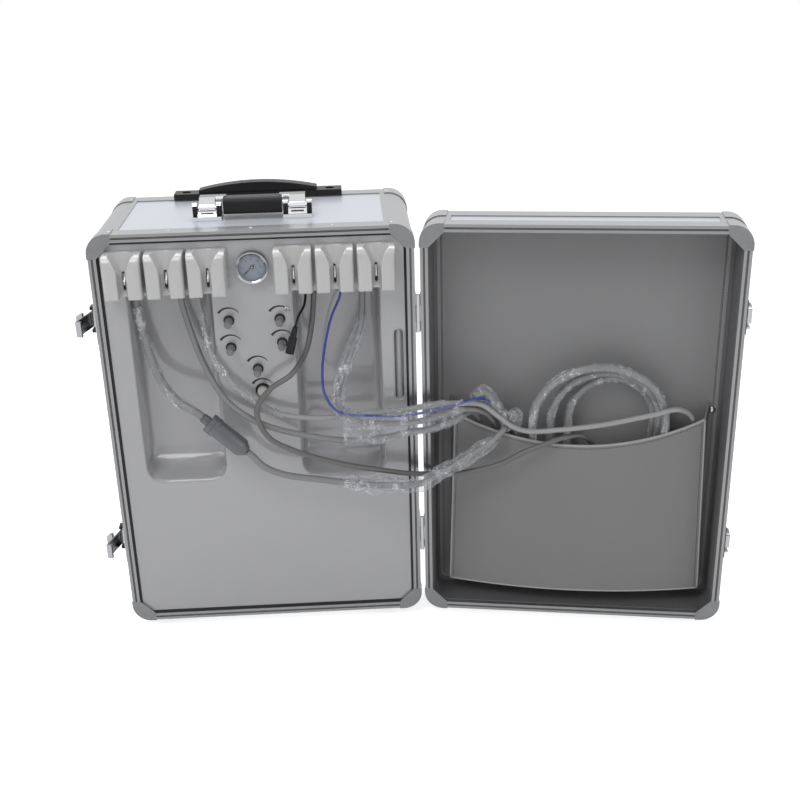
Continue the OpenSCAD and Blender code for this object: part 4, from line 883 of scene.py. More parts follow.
def rim_seals(name, place, start, body):
    """Four rubber cords in the straight grooves of a rim."""
    low, far_x, far_z = CAP_LEN + 1, CASE_W - CAP_LEN - 1, CASE_H - CAP_LEN - 1
    y, m = start + GROOVE_DEEP, GROOVE_MID
    runs = [((low, y, z), (far_x, y, z)) for z in (m, CASE_H - m)]
    runs += [((x, y, low), (x, y, far_z)) for x in (m, CASE_W - m)]
    for i, (a, b) in enumerate(runs):
        line = np.linspace(tuple(place(*a)), tuple(place(*b)), 12)
        tube(f"{name}_{i}", line, 0.00105, SEAL, body, sides=10)


rim_seals("case_seal", case, 0, "case")
rim_seals("lid_seal", lid, 0.4, "lid")
dress("rubber_feet", RUBBER, 1.0)
dress("wheel_housings", BLACK, 1.0)
for node in ("wheel_left", "wheel_right"):
    dress(node, RUBBER, 1.2)
dress("mains_fittings", BLACK, 0.5, 2)
for node in ("compressor", "air_tank", "valve_block"):
    dress(node, MACHINE)
dress("bottles", BOTTLE)
print("case shell done, rivets:", len(heads))

# %% [markdown]
# ## Moulded front
#
# The front is one glossy moulding. Its CAD face could be bevelled, but that
# rounds only the edges, so the face is a height field: inside a trough the depth
# is the least of a steep side profile and a slow bowl at the foot, softened
# where they meet. Holes for the controls are cut in the flat part by a
# constrained triangulation. The six holders keep the CAD form, and a fine voxel
# remesh with smoothing rounds every edge of it.

# %% Depth of the moulded front
FRONT_Y, TROUGH_LOW, TROUGH_TOP, TROUGH_DEEP, FOOT_R = 4.0, 208, 470, 45, 26
TROUGHS = ((40, 106), (246, 110))
SIDE = [(-4, 0), (-2, 0.1), (-0.5, 0.6), (0.5, 2), (1.2, 5), (2, 12), (2.7, 22), (3.6, 30),
        (5, 37), (7.5, 41.5), (11, 44), (16, 45)]
BOWL = [(-3, 0), (0, 0.1), (1.5, 0.4), (3, 1.2), (5, 3.2), (7, 7), (10, 13.5), (15, 22), (22, 31),
        (30, 38), (40, 43), (52, 45)]


def profile(points, at):
    """A curve through the points with no overshoot: cubic pieces whose slope at a point
    is the harmonic mean of the slopes beside it, and 0 where they differ in sign."""
    x, y = np.array(points, float).T
    slope = np.diff(y) / np.diff(x)
    knee = np.r_[0, np.where(slope[1:] * slope[:-1] > 0,
                             2 * slope[1:] * slope[:-1] / (slope[1:] + slope[:-1] + 1e-12), 0), 0]
    at = np.clip(at, x[0], x[-1])
    i = np.clip(np.searchsorted(x, at, "right") - 1, 0, len(x) - 2)
    run = x[i + 1] - x[i]
    t = (at - x[i]) / run
    return ((1 + 2 * t) * (1 - t) ** 2 * y[i] + t * (1 - t) ** 2 * run * knee[i]
            + t ** 2 * (3 - 2 * t) * y[i + 1] + t ** 2 * (t - 1) * run * knee[i + 1])


def softened_least(a, b):
    """min(a, b) - h h k / 4 with h = max(k - |a - b|, 0) / k and k a share of the least."""
    least = np.minimum(a, b)
    k = 0.35 * least + 1e-6
    h = np.maximum(k - np.abs(a - b), 0) / k
    return least - h * h * k / 4


def front_depth(x, z):
    """Millimetres behind the front's face. Near a trough's lower corners the distances
    to side and foot are those to a rounded corner: FOOT_R - the length of (side, foot)."""
    depth = np.zeros_like(x)
    for left, width in TROUGHS:
        side = np.minimum(x - left, left + width - x)
        foot = z - TROUGH_LOW
        near_s, near_f = np.maximum(FOOT_R - side, 0), np.maximum(FOOT_R - foot, 0)
        fade = (near_f / FOOT_R) ** 2
        at_corner = near_s * near_f > 0
        bent_side = np.where(at_corner, FOOT_R - np.hypot(near_s, near_f), side)
        bent_foot = np.where(at_corner, FOOT_R - np.sqrt(near_s ** 2 * fade + near_f ** 2), foot)
        d = softened_least(profile(SIDE, bent_side), profile(BOWL, bent_foot))
        depth = np.maximum(depth, np.minimum(d, np.clip((TROUGH_TOP - z) * 60, 0, TROUGH_DEEP)))
    return depth


print("deepest", front_depth(np.array([90.0]), np.array([350.0]))[0], "mm")

# %% Face of the moulded front
GAUGE = (199, 503.5)
KNOBS = {"water_knob": (165, 434), "spray_knob": (165, 398), "air_knob_upper": (229, 434),
         "air_knob_lower": (230, 402), "bottle_knob": (197, 368)}
BUTTON = (201, 338)
LEVEL, LEVEL_HALF = (378, 365), 43


def rounded_outline(inset, steps=14):
    """The case's outline drawn in by an inset, as x and z."""
    r = CORNER_R - inset
    corners = ((CASE_W - CORNER_R, CORNER_R, -90), (CASE_W - CORNER_R, CASE_H - CORNER_R, 0),
               (CORNER_R, CASE_H - CORNER_R, 90), (CORNER_R, CORNER_R, 180))
    out = []
    for x, z, start in corners:
        for a in np.radians(start + np.linspace(0, 90, steps)):
            out.append((x + r * math.cos(a), z + r * math.sin(a)))
    return np.array(out)


def slot_outline(at, radius, half, steps=10):
    """A slot with round ends, half being the reach of its ends' centres."""
    angles = np.radians(np.linspace(0, 180, steps))
    top = [(at[0] + radius * math.cos(a), at[1] + half + radius * math.sin(a)) for a in angles]
    return np.array(top + [(2 * at[0] - x, 2 * at[1] - z) for x, z in top])


def circle_outline(at, radius, steps=40):
    """A circle as x and z round a place."""
    a = np.linspace(0, 2 * np.pi, steps, endpoint=False)
    return np.column_stack([at[0] + radius * np.cos(a), at[1] + radius * np.sin(a)])


def inside(points, loop):
    """Which points lie in a closed loop, by crossings of a ray along x."""
    x, z = points[:, :1], points[:, 1:]
    x0, z0 = loop[:, 0], loop[:, 1]
    x1, z1 = np.roll(x0, -1), np.roll(z0, -1)
    cross = (z0 > z) != (z1 > z)
    hit = x0 + (z - z0) * (x1 - x0) / np.where(z1 == z0, 1, z1 - z0)
    return np.sum(cross & (x < hit), axis=1) % 2 == 1


def front_points(rim, holes):
    """Grid points that are dense at the troughs' walls, clear of the rim and holes."""
    near = [-4, -3, -2, -1.2, -0.5, 0, 0.5, 0.9, 1.3, 1.7, 2.1, 2.5, 2.9, 3.4, 4, 4.7, 5.6,
            6.8, 8.2, 10, 12.5, 16, 21, 27]
    xs = set(np.arange(16, 386, 9.0).tolist())
    for left, width in TROUGHS:
        xs -= {x for x in xs if left - 6 < x < left + width + 6}
        xs |= {left + d for d in near} | {left + width - d for d in near}
        xs |= set(np.linspace(left + 33, left + width - 33, 6).tolist())
    zs = set(np.arange(18, 204, 11.0).tolist()) | set(np.arange(264, 466, 7.0).tolist())
    foot = np.r_[-4, -2, np.arange(-1, 16, 1.0), np.arange(16, 54, 2.5)]
    zs |= set((TROUGH_LOW + foot).tolist())
    zs |= {467, 468.6, 469.0, 469.25, 469.5, 469.75, 470, 470.5, 474, 482, 490, 500, 510, 520,
           530}
    x, z = np.meshgrid(sorted(xs), sorted(zs))
    grid = np.column_stack([x.ravel(), z.ravel()])
    keep = inside(grid, rim)
    for loop in [rim] + holes:
        gap = np.min(np.hypot(grid[:, None, 0] - loop[None, :, 0],
                              grid[:, None, 1] - loop[None, :, 1]), axis=1)
        keep &= gap > 1.6
    for loop in holes:
        keep &= ~inside(grid, loop)
    return grid[keep]


def front_face():
    """The face, cut by its holes: flat triangles moved back by the front's depth."""
    rim = rounded_outline(11.5)
    holes = [circle_outline(GAUGE, 18.25), circle_outline(BUTTON, 7.0),
             slot_outline(LEVEL, 6.0, LEVEL_HALF)]
    holes += [circle_outline(at, 6.0) for at in KNOBS.values()]
    points, edges = [], []
    for loop in [rim] + holes:
        k, n = len(points), len(loop)
        points += loop.tolist()
        edges += [(k + i, k + (i + 1) % n) for i in range(n)]
    points += front_points(rim, holes).tolist()
    flat, _, faces, _, _, _ = delaunay_2d_cdt([Vector(p) for p in points], edges, [], 0, 1e-5)
    flat = np.array([tuple(p) for p in flat])
    middle = np.array([flat[list(f)].mean(axis=0) for f in faces])
    keep = inside(middle, rim)
    for loop in holes:
        keep &= ~inside(middle, loop)
    faces = [f for f, k in zip(faces, keep) if k]
    depth = front_depth(flat[:, 0], flat[:, 1])
    solid = [case(x, FRONT_Y + d, z) for (x, z), d in zip(flat.tolist(), depth.tolist())]
    face = piece("front_face", solid, faces, FRONT, "case")
    if face.data.polygons[0].normal.y > 0:
        face.data.flip_normals()
    return sharpen(face, 60)


def rings(name, loops, material, body, place=case, cap=False):
    """A skin through closed loops of the same count, each with its own depth."""
    points = [place(x, y, z) for loop, y in loops for x, z in loop.tolist()]
    count = len(loops[0][0])
    faces = grid_faces(len(loops), count, close_cols=True)
    if cap:
        faces.append(tuple(range((len(loops) - 1) * count, len(loops) * count)))
    return sharpen(piece(name, points, faces, material, body), 50)


face = front_face()
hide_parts("front_panel")
rings("front_border", [(rounded_outline(i), y) for i, y in
                       ((10.8, 7), (10.8, 4.7), (10.95, 4.25), (11.2, 4.05), (11.5, 4.0))],
      FRONT, "case")
rings("front_gasket", [(rounded_outline(i), y) for i, y in
                       ((10.05, 3.9), (10.05, 2.6), (10.3, 2.2), (12.2, 2.3), (12.9, 2.9),
                        (13.0, 3.98))],
      BLACK, "case")
rings("level_slot", [(slot_outline(LEVEL, r, LEVEL_HALF), y) for r, y in
                     ((7.6, 4.0), (7.4, 3.5), (6.9, 3.2), (6.3, 3.25), (5.9, 3.8), (5.9, 17.5))],
      FRONT, "case", cap=True)
print("front face:", len(face.data.polygons), "triangles")

# %% Hose collars, holders and levers
GLANDS = {"suction": (SUCTION_UP, 5.2), "first": (HOSE_A_CASE, 4), "second": (HOSE_B_CASE, 3.5),
          "third": (HOSE_C_CASE, 3.5), "syringe": (SYRINGE_CASE, 4), "lamp": (CABLE, 1.6),
          "blue": (BLUE_CASE, 1.6)}
for name, (points, r) in GLANDS.items():
    turned(f"gland_{name}", [(r, 0), (r + 2.1, 0), (r + 2.5, 0.4), (r + 2.5, 8.5), (r, 8.5),
                             (r, 0)], case(*points[0]), (0, 0, 1), FRONT, "case", steps=32)


def softened(node, voxel=0.0008, rounds=10):
    """Rounds a CAD node all over with a voxel remesh and smoothing modifiers; the voxel's
    size is in metres."""
    obj = NODES[node]
    cells = obj.modifiers.new("cells", "REMESH")
    cells.mode = "VOXEL"
    cells.voxel_size = voxel
    cells.use_smooth_shade = True
    smooth = obj.modifiers.new("smooth", "SMOOTH")
    smooth.factor, smooth.iterations = 0.5, rounds


for node in ("left_holders", "right_holders"):
    dress(node, HOLDER)
    softened(node)
for i in range(1, 7):
    dress(f"holder_lever_{i}", STEEL, 0.3, 2)
print("collars:", len(GLANDS), "levers: 6")

# %% [markdown]
# ## Gauge and valves
#
# The gauge has a bright rim, a pale blue dial with plain ticks and numbers, a
# needle and a glass. The dial could be an image, but drawn meshes stay sharp and
# copy nothing. Each valve has a finely fluted knob, a dark ring round it that is
# painted shade at the edge of its hole, and a bare black arc over it that swells
# from one end to the other.

# %% Gauge
dress("gauge_case", CHROME, 0.5)
dress("gauge_lens", GLASS)
dress("gauge_needle", INK)
turned("gauge_dial", [(0, 0), (17.9, 0), (17.9, -0.4), (0, -0.4)],
       case(GAUGE[0], 0.35, GAUGE[1]), (0, -1, 0), DIAL, "case", steps=64)
turned("gauge_rim_ring", [(17.0, 0), (17.0, 2.2), (18.6, 3.4), (19.9, 3.0), (20.3, 1.6),
                          (20.3, 0), (17.0, 0)],
       case(GAUGE[0], -2.6, GAUGE[1]), (0, -1, 0), CHROME, "case", steps=72)
DIAL_OUT, SCALE_START, TICK_STEP, NUMBER_STEP = 15.8, 225, 9, 45


def dial_point(angle, radius):
    """A point on the dial, angle in degrees clockwise from its lower left."""
    a = math.radians(SCALE_START - angle)
    return case(GAUGE[0] + radius * math.cos(a), -0.12, GAUGE[1] + radius * math.sin(a))


def dial_marks():
    """Ticks every nine degrees, every fifth one long, in one mesh."""
    points, faces = [], []
    for i in range(31):
        inner, half = (12.4, 0.9) if i % 5 == 0 else (14.2, 0.5)
        for radius in (inner, DIAL_OUT):
            for side in (-1, 1):
                turn = TICK_STEP * i + side * half * DIAL_OUT / radius
                points.append(dial_point(turn, radius))
        k = len(points) - 4
        faces.append((k, k + 1, k + 3, k + 2))
    piece("gauge_ticks", points, faces, INK, "case", smooth=False)


def dial_number(value, angle, size=3.4):
    """A plain number beside its tick."""
    data = bpy.data.curves.new(f"number_{value}", "FONT")
    data.body, data.size = str(value), size * MM
    data.align_x = data.align_y = "CENTER"
    data.materials.append(INK)
    obj = bpy.data.objects.new(f"gauge_number_{value}", data)
    bpy.context.collection.objects.link(obj)
    place = dial_point(angle, 10.0)
    obj.matrix_world = Matrix.Translation(place) @ Matrix.Rotation(math.pi / 2, 4, "X")
    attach(obj, "case")


dial_marks()
for step in range(7):
    dial_number(2 * step, NUMBER_STEP * step)
print("gauge: 31 ticks, 7 numbers")

# %% Knobs, arcs and button
KNOB_TIP, KNOB_LEN = -17.0, 23.5


def knob(name, x, z):
    """A tapered knob with fine flutes and a chamfered end, and round it a smooth dark ring on the
    front, painted shade at the edge of its hole.
    """
    side = [(0, 0), (3.9, 0), (4.6, 0.5), (4.9, 1.4), (4.9, 14.5), (5.0, 15.0), (5.0, 17.5),
            (4.2, 18.0), (4.2, 20.5), (5.0, 21.0), (5.0, KNOB_LEN)]
    body = turned(f"{name}_body", side, case(x, KNOB_TIP, z), (0, 1, 0), KNOB, f"{name}_body",
                  steps=120, flutes=24, depth=0.35)
    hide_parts(name)
    # Painted shade: a flat dark ring on the front round the knob, at the edge of its hole.
    turned(f"{name}_shade_ring", [(0, 0), (6.6, 0), (6.9, 0.3), (6.9, 0.9), (0, 0.9)],
           case(x, 3.95, z), (0, -1, 0), SHADE, "case", steps=40)


def arc_mark(name, x, z, low=35, high=145, radius=15.5, thin=0.9, growth=2.3):
    """A bare arc whose width is thin + growth * the share of the way along it."""
    angles = np.radians(np.linspace(low, high, 28))
    points = []
    for i, a in enumerate(angles):
        width = thin + growth * (i / (len(angles) - 1))
        for r in (radius - width / 2, radius + width / 2):
            points.append(case(x + r * math.cos(a), 3.9, z - 2 + r * math.sin(a)))
    faces = [(2 * i, 2 * i + 1, 2 * i + 3, 2 * i + 2) for i in range(len(angles) - 1)]
    piece(name, points, faces, INK, "case", smooth=False)


for name, (x, z) in KNOBS.items():
    knob(name, x, z)
    arc_mark(f"{name}_arc", x, z + 3)
arc_mark("button_arc", BUTTON[0], BUTTON[1] + 2)
dress("power_button", BEIGE, 0.8)


def cross_screw(name, place, axis, body, radius=3.2, material=STEEL):
    """A domed screw head with a cross of two dark strips just over its top, painted shade for the
    cross's recess.
    """
    turned(name, [(radius, 0), (radius, 0.35), (radius * 0.8, 0.85), (radius * 0.4, 1.1),
                  (0, 1.15)], place, axis, material, body, steps=28)
    axis, x, y = square_to(axis)
    points, faces = [], []
    for a, b in ((x, y), (y, x)):
        k = len(points)
        for sa, sb in ((-1, -1), (1, -1), (1, 1), (-1, 1)):
            points.append(Vector(place) + MM * (1.19 * axis + 0.62 * radius * sa * a
                                                + 0.13 * radius * sb * b))
        faces.append((k, k + 1, k + 2, k + 3))
    piece(f"{name}_cross", points, faces, SHADE, body, smooth=False)


cross_screw("panel_screw", case(238, 2.4, 447), (0, -1, 0), "case", 2.8)
dress("level_tube", CLEAR)
dress("lamp_plug", BLACK, 0.5)
print("controls done")

# %% [markdown]
# ## Lid
#
# The lid is lined with leatherette: four walls that turn into the back with a
# soft curve, and a sewn seam round the back. The pocket is one leatherette sheet
# that bows forward, with a rolled edge, rows of stitches and a stud at each top
# corner. Its top corners drop and lean in a little. It could be simulated as
# cloth, but it is held stretched, and then an arc comes near enough.

# %% Lining of the lid
LINING_IN, LINING_OUT, BACK_V, FILLET_R = 10.8, 7.8, 58.4, 5
SEAM_INSET = 22.6


def lining_profile():
    """Inset from the lid's outline and depth, from the walls' front edge to the back."""
    fillet = [(LINING_IN + FILLET_R * (1 - math.cos(a)), BACK_V - FILLET_R * (1 - math.sin(a)))
              for a in np.radians(np.linspace(0, 90, 7))]
    seam = [(19.6, BACK_V), (20.2, BACK_V + 0.5), (20.8, BACK_V), (21.6, BACK_V - 0.5),
            (23.6, BACK_V - 0.4), (25.2, BACK_V)]
    wall = [(LINING_OUT, 10), (LINING_OUT, 7.5), (8.2, 7.2), (10.3, 7.2), (LINING_IN, 7.6),
            (LINING_IN, 20), (LINING_IN, 40)]
    return wall + fillet + seam


def lid_outline(inset):
    """The lid's rounded outline; past the corners' radius, a smaller copy of the last."""
    if inset < CORNER_R - 1:
        return rounded_outline(inset)
    loop = rounded_outline(CORNER_R - 1)
    middle = np.array([CASE_W / 2, CASE_H / 2])
    shrink = (middle - inset) / (middle - (CORNER_R - 1))
    return middle + (loop - middle) * shrink


profile_points = lining_profile()
split = next(i for i, (inset, _) in enumerate(profile_points) if inset > LINING_IN + 1)
walls = rings("lining_walls", [(lid_outline(i), v) for i, v in profile_points[:split + 4]],
              WALL_LINING, "lid", place=lid)
rings("lining_back", [(lid_outline(i), v) for i, v in profile_points[split + 3:]], LINING,
      "lid", place=lid, cap=True)
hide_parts("lid_lining")


def stitches(name, path, side, body, spacing=0.0042, length=0.0026, radius=0.00033):
    """A row of short threads along a path, all one mesh. Each is three rings of six
    points: thin, full, thin."""
    run = run_along(path)
    points, faces = [], []
    for i in range(int(run[-1] / spacing)):
        middle = (i + 0.5) * spacing
        ends = points_at(path, run, [middle - length / 2, middle + length / 2])
        along = (ends[1] - ends[0]) / np.linalg.norm(ends[1] - ends[0])
        out = np.array(side) - along * np.dot(side, along)
        out /= np.linalg.norm(out)
        across = np.cross(along, out)
        k = len(points)
        for end, scale in ((ends[0], 0.4), ((ends[0] + ends[1]) / 2, 1.0), (ends[1], 0.4)):
            for b in np.radians(np.arange(0, 360, 60)):
                points.append(end + scale * radius * (math.cos(b) * across + math.sin(b) * out))
        for row in range(2):
            for j in range(6):
                a0, b0 = k + row * 6 + j, k + row * 6 + (j + 1) % 6
                faces.append((a0, b0, b0 + 6, a0 + 6))
        faces += [tuple(range(k + 5, k - 1, -1)), tuple(range(k + 12, k + 18))]
    return piece(name, points, faces, THREAD, body)


u0, u1, z0, z1 = SEAM_INSET, CASE_W - SEAM_INSET, SEAM_INSET, CASE_H - SEAM_INSET
for name, (a, b) in {"left": ((u0, z0), (u0, z1)), "top": ((u0, z1), (u1, z1)),
                     "right": ((u1, z0), (u1, z1))}.items():
    line = np.linspace(*(tuple(lid(u, BACK_V - 0.45, z)) for u, z in (a, b)), 60)
    stitches(f"lining_stitches_{name}", line, LID_OUT, "lid")
print("lid lining done")

# %% Pocket
POCKET_U, POCKET_LOW, POCKET_HIGH, POCKET_DIP = (32, 374), 31, 300, 48
POCKET_CORNER_V, POCKET_BOW, POCKET_T = 30, 20, 2
POCKET_DROP, POCKET_LEAN = 14, 8
POCKET_MIDDLE, POCKET_HALF = sum(POCKET_U) / 2, (POCKET_U[1] - POCKET_U[0]) / 2


def arc_radius(half, rise):
    """The radius of an arc over a chord: (half half + rise rise) / (2 rise)."""
    return (half ** 2 + rise ** 2) / (2 * rise)


def pocket_plan(steps=90):
    """The pocket's outer face from above: back, corner, bow, corner, back."""
    left, right = POCKET_U
    radius = arc_radius(POCKET_HALF, POCKET_BOW)
    centre = POCKET_CORNER_V - POCKET_BOW + radius
    us = POCKET_MIDDLE - POCKET_HALF * np.cos(np.linspace(0, np.pi, steps))
    front = [(u, centre - math.sqrt(radius ** 2 - (u - POCKET_MIDDLE) ** 2))
             for u in us.tolist()]
    side = np.linspace(BACK_V - 0.4, POCKET_CORNER_V, 9)[:-1].tolist()
    return [(left, v) for v in side] + front + [(right, v) for v in reversed(side)]


def forward(v):
    """0 at the lid's back, 1 at the pocket's front corners and beyond."""
    return min(1.0, max(0.0, (BACK_V - v) / (BACK_V - POCKET_CORNER_V)))


def pocket_top(u, v):
    """Height of the edge: the gussets fall from the back, the front dips as an arc."""
    dip = POCKET_DIP - POCKET_DROP
    radius = arc_radius(POCKET_HALF, dip)
    arc = radius - math.sqrt(radius ** 2 - (u - POCKET_MIDDLE) ** 2) - dip
    return POCKET_HIGH - POCKET_DROP * forward(v) + arc


def pocket_place(u, v, down, top, ahead=0.0):
    """A point of the pocket's skin, down below its edge. The front corners lean inwards
    by POCKET_LEAN at the top, and a shallow wave of 0.6 mm runs over the front."""
    z = max(POCKET_LOW, top - down)
    share = (z - POCKET_LOW) / (top - POCKET_LOW)
    lean = POCKET_LEAN * share * forward(v) * (POCKET_MIDDLE - u) / POCKET_HALF
    wave = 0.6 * math.sin(math.pi * share) * math.sin(u / 27 + 2.2 * share) * (v < 29)
    return lid(u + lean, v + wave - ahead, z)


def pocket_sheet(rows=40):
    """The sheet with its thickness, as one closed skin: up the outer face, down the inner.
    Its width is measured along its middle, its area as the sum of step * mean height."""
    plan = np.array(pocket_plan())
    way = np.gradient(plan, axis=0)
    way /= np.linalg.norm(way, axis=1)[:, None]
    inner = plan + POCKET_T * np.column_stack([-way[:, 1], way[:, 0]])
    inner[0] = POCKET_U[0] + POCKET_T, plan[0][1]
    inner[-1] = POCKET_U[1] - POCKET_T, plan[-1][1]
    tops = np.array([pocket_top(u, v) for u, v in plan])
    rise = np.linspace(0, 1, rows)
    points = [pocket_place(u, v, (1 - share) * (top - POCKET_LOW), top)
              for way, face in ((1, plan), (-1, inner))
              for share in rise[::way] for (u, v), top in zip(face, tops)]
    faces = grid_faces(2 * rows, len(plan), close_rows=True)
    cols = len(plan)
    for edge in (0, cols - 1):
        for r in range(rows - 1):
            a, b = r * cols + edge, (r + 1) * cols + edge
            c, d = (2 * rows - 2 - r) * cols + edge, (2 * rows - 1 - r) * cols + edge
            faces.append((a, b, c, d) if edge else (d, c, b, a))
    middle = (plan + inner) / 2
    steps = np.linalg.norm(np.diff(middle, axis=0), axis=1)
    heights = tops - POCKET_LOW
    area = float(np.sum(steps * (heights[1:] + heights[:-1]) / 2))
    sheet = piece("pocket_sheet", points, faces, POCKET, "lid")
    return sharpen(sheet, 60), float(steps.sum()), float(heights.max()), area, plan, tops


sheet, width, height, area, plan, tops = pocket_sheet()
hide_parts("lid_pocket")
edge = list(zip(plan.tolist(), tops.tolist()))
edge_line = smooth_path([pocket_place(u, v, 0.2, top, -0.6) for (u, v), top in edge[8:-8]],
                        0.003)
binding = tube("pocket_binding", edge_line, 0.0017, BINDING, "lid", sides=14)
sewn = smooth_path([pocket_place(u, v, 4.4, top, 0.12) for (u, v), top in edge[9:-9]], 0.004)
thread = stitches("pocket_stitches", sewn, LID_OUT, "lid", radius=0.00055)
for side, index, way in (("left", 8, 1), ("right", len(plan) - 9, -1)):
    (u, v), top = edge[index]
    lines = [np.linspace(*(tuple(pocket_place(u + way * off, v, down, top, ahead))
                           for down in (top - POCKET_LOW - low, high)), 40)
             for off, low, high, ahead in ((0.3, 1, 1, -0.5), (4.4, 4, 5, 1.1))]
    tube(f"pocket_corner_{side}", lines[0], 0.0014, BINDING, "lid",
                              sides=12)
    stitches(f"pocket_stitches_{side}", lines[1], LID_OUT, "lid",
                                  radius=0.00055)
low_line = smooth_path([lid(u, v + 0.4, POCKET_LOW + 1.2) for u, v in plan[8:-8]], 0.004)
tube("pocket_low_binding", low_line, 0.0012, BINDING, "lid", sides=12)
n = len(plan)
floor_points = [lid(u, v, z) for z in (POCKET_LOW, POCKET_LOW + POCKET_T) for u, v in plan.tolist()]
floor_faces = [tuple(range(n))[::-1], tuple(range(n, 2 * n))]
floor_faces += [(i, (i + 1) % n, n + (i + 1) % n, n + i) for i in range(n)]
piece("pocket_floor", floor_points, floor_faces, POCKET, "lid",
                           smooth=False)
STUD = [(4.2, 0), (4.2, 0.5), (3.4, 1.2), (1.6, 1.6), (0, 1.7)]
for side, u in (("left", 22.0), ("right", CASE_W - 22.0)):
    turned(f"pocket_stud_{side}", STUD, lid(u, BACK_V - 0.3, 288), LID_OUT,
                                CHROME, "lid", steps=28)
print("pocket", round(width), "x", round(height), "mm, area", round(area / 1e6, 4), "m2")

# %% [markdown]
# ## Handles, hinges, latches and strainer
#
# These keep their CAD forms, which a new mesh would only repeat. Where one solid
# has two finishes, such as the black grip and its chrome links, the faces are
# told apart by their place. Screws, rivets and bracket caps are added over them.
# The strainer is turned anew, for its shallow flutes.

# %% Finishes by place
CONTROL_X, BRACKET_X = CASE_W / 2 - 0.5, 57


def in_case(point):
    """A world point in the case's own millimetres."""
    return (point - CASE_CORNER) / MM


dress_where("carry_handle", BLACK, BRIGHT,
            lambda p, n: abs(in_case(p).x - CONTROL_X) > 37.3, 0.7)
dress_where("handle_brackets", BLACK, BRIGHT,
            lambda p, n: (abs(abs(in_case(p).x - CONTROL_X) - BRACKET_X) < 11.6
                          or in_case(p).z < CASE_H + 2), 0.6)
dress_where("latch_bases", BLACK, STEEL, lambda p, n: in_case(p).x > -1.7, 0.4)
dress_where("lid_keepers", BLACK, CHROME,
            lambda p, n: (p - lid(CASE_W + 1.7, 0, 0)).dot(LID_SIDE) > 0, 0.4)
FITTINGS = {"trolley_base": (BLACK, 1.2), "trolley_handle": (BLACK, 1.6),
            "trolley_button": (BLACK, 0.5), "case_hinge_leaves": (STEEL, 0.25),
            "lid_hinge_leaves": (STEEL, 0.25), "latch_hook_lower": (CHROME, 0.4),
            "latch_hook_upper": (CHROME, 0.4), "latch_wing_lower": (CHROME, 0.6),
            "latch_wing_upper": (CHROME, 0.6), "hose_couplings": (CHROME, 0.4)}
for node, (material, width) in FITTINGS.items():
    dress(node, material, width)
print("fittings dressed:", len(FITTINGS) + 4)

# %% Bracket caps and plates
PIN_Y, PIN_Z, CAP_R = 70, CASE_H + 13, 7.1


def strip(name, side_view, x0, x1, thick, material):
    """A bent strip on the case: a line in y and z, thickened outwards, from x0 to x1."""
    line = np.array(side_view, float)
    way = np.gradient(line, axis=0)
    way /= np.linalg.norm(way, axis=1)[:, None]
    outer = line + thick * np.column_stack([-way[:, 1], way[:, 0]])
    loop = np.vstack([line, outer[::-1]])
    points = [case(x, y, z) for x in (x0, x1) for y, z in loop.tolist()]
    n = len(loop)
    faces = [(i, (i + 1) % n, n + (i + 1) % n, n + i) for i in range(n)]
    rows = len(line)
    for i in range(rows - 1):
        faces.append((i + 1, i, n - 1 - i, n - 2 - i))
        faces.append((n + i, n + i + 1, 2 * n - 2 - i, 2 * n - 1 - i))
    sharpen(piece(name, points, faces, material, "case"), 40)


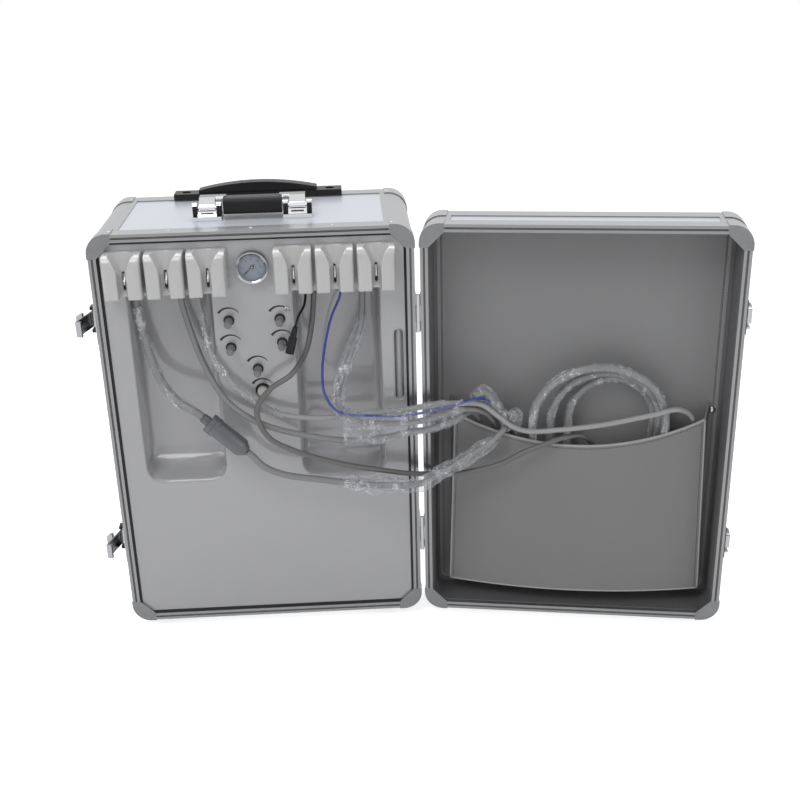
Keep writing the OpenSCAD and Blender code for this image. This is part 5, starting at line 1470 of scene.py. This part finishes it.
cap_line = [(PIN_Y - CAP_R * math.cos(a), PIN_Z + CAP_R * math.sin(a))
            for a in np.radians(np.linspace(30, 160, 16))]
STRIPS = {
    "plate": ([(61.2, 3.1), (62.0, 4.2), (64.6, 8.6), (64.9, 9.4)], 11.6, 0.8, BRIGHT),
    # Painted shade: a near-black strip for the slot in the plate.
    "plate_slot_shade": ([(62.8, 5.6), (63.9, 7.4)], 8, 0.95, SHADE),
    "bracket_lip": ([(57.6, 0.1), (57.6, 2.6), (58.4, 3.2)], 18.2, 0.5, BRIGHT),
}
for side, middle in (("left", CONTROL_X - BRACKET_X), ("right", CONTROL_X + BRACKET_X)):
    for end, x in (("outer", middle - 18.3), ("inner", middle + 11.7)):
        strip(f"cap_{side}_{end}", cap_line, x, x + 6.6, 0.7, BRIGHT)
    for name, (line, half, thick, material) in STRIPS.items():
        strip(f"{name}_{side}", [(y, CASE_H + z) for y, z in line], middle - half,
              middle + half, thick, material)
print("bracket strips done")

# %% Screws and rivets of the fittings
TROLLEY_Y = CASE_D - 15
for i, way in enumerate((-1, 1)):
    cross_screw(f"trolley_screw_{i}", case(CONTROL_X + way * 97, TROLLEY_Y, CASE_H + 5), (0, 0, 1),
                "case", 4.2, BRIGHT)
HEIGHTS = (119, 435)
for h, z in enumerate(HEIGHTS):
    for i, (y, rise) in enumerate(((11, -19), (11, 19), (21, -14), (21, 14))):
        rivet(f"hinge_rivet_case_{h}_{i}", case(CASE_W + 1.4, y, z + rise), (1, 0, 0), "case",
              1.9)
        rivet(f"hinge_rivet_lid_{h}_{i}", lid(-1.4, y, z + rise), -LID_SIDE, "lid", 1.9)
    for i, (y, rise) in enumerate(((8, -21), (8, 21), (39, -21), (39, 21))):
        rivet(f"latch_rivet_{h}_{i}", case(-1.6, y, z + rise), (-1, 0, 0), "case", 2.0)
    for i, rise in enumerate((-18, 18)):
        rivet(f"keeper_rivet_{h}_{i}", lid(CASE_W + 1.6, 11, z + rise), LID_SIDE, "lid", 1.7)
print("hinge, latch and keeper rivets:", 28)

# %% Strainer
along = STRAINER_TO - STRAINER_FROM
reach = along.length
side = [(0, 0), (6.0, 0), (6.4, 0.4), (6.4, 9.2), (12.6, 9.8), (13.3, 10.6), (13.3, 15.6),
        (12.9, 16.0), (12.9, 16.6), (13.3, 17), (13.3, 22.6), (12.4, 23.6), (12.2, 24.2),
        (12.4, 26), (12.3, reach - 10), (11.6, reach - 7.5), (6.6, reach - 0.4), (5.6, reach),
        (0, reach)]
strainer = turned("strainer_body", side, case(*STRAINER_FROM), along, STRAINER, "case", steps=96,
                  flutes=6, depth=0.18)
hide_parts("suction_strainer")
print("fittings done")
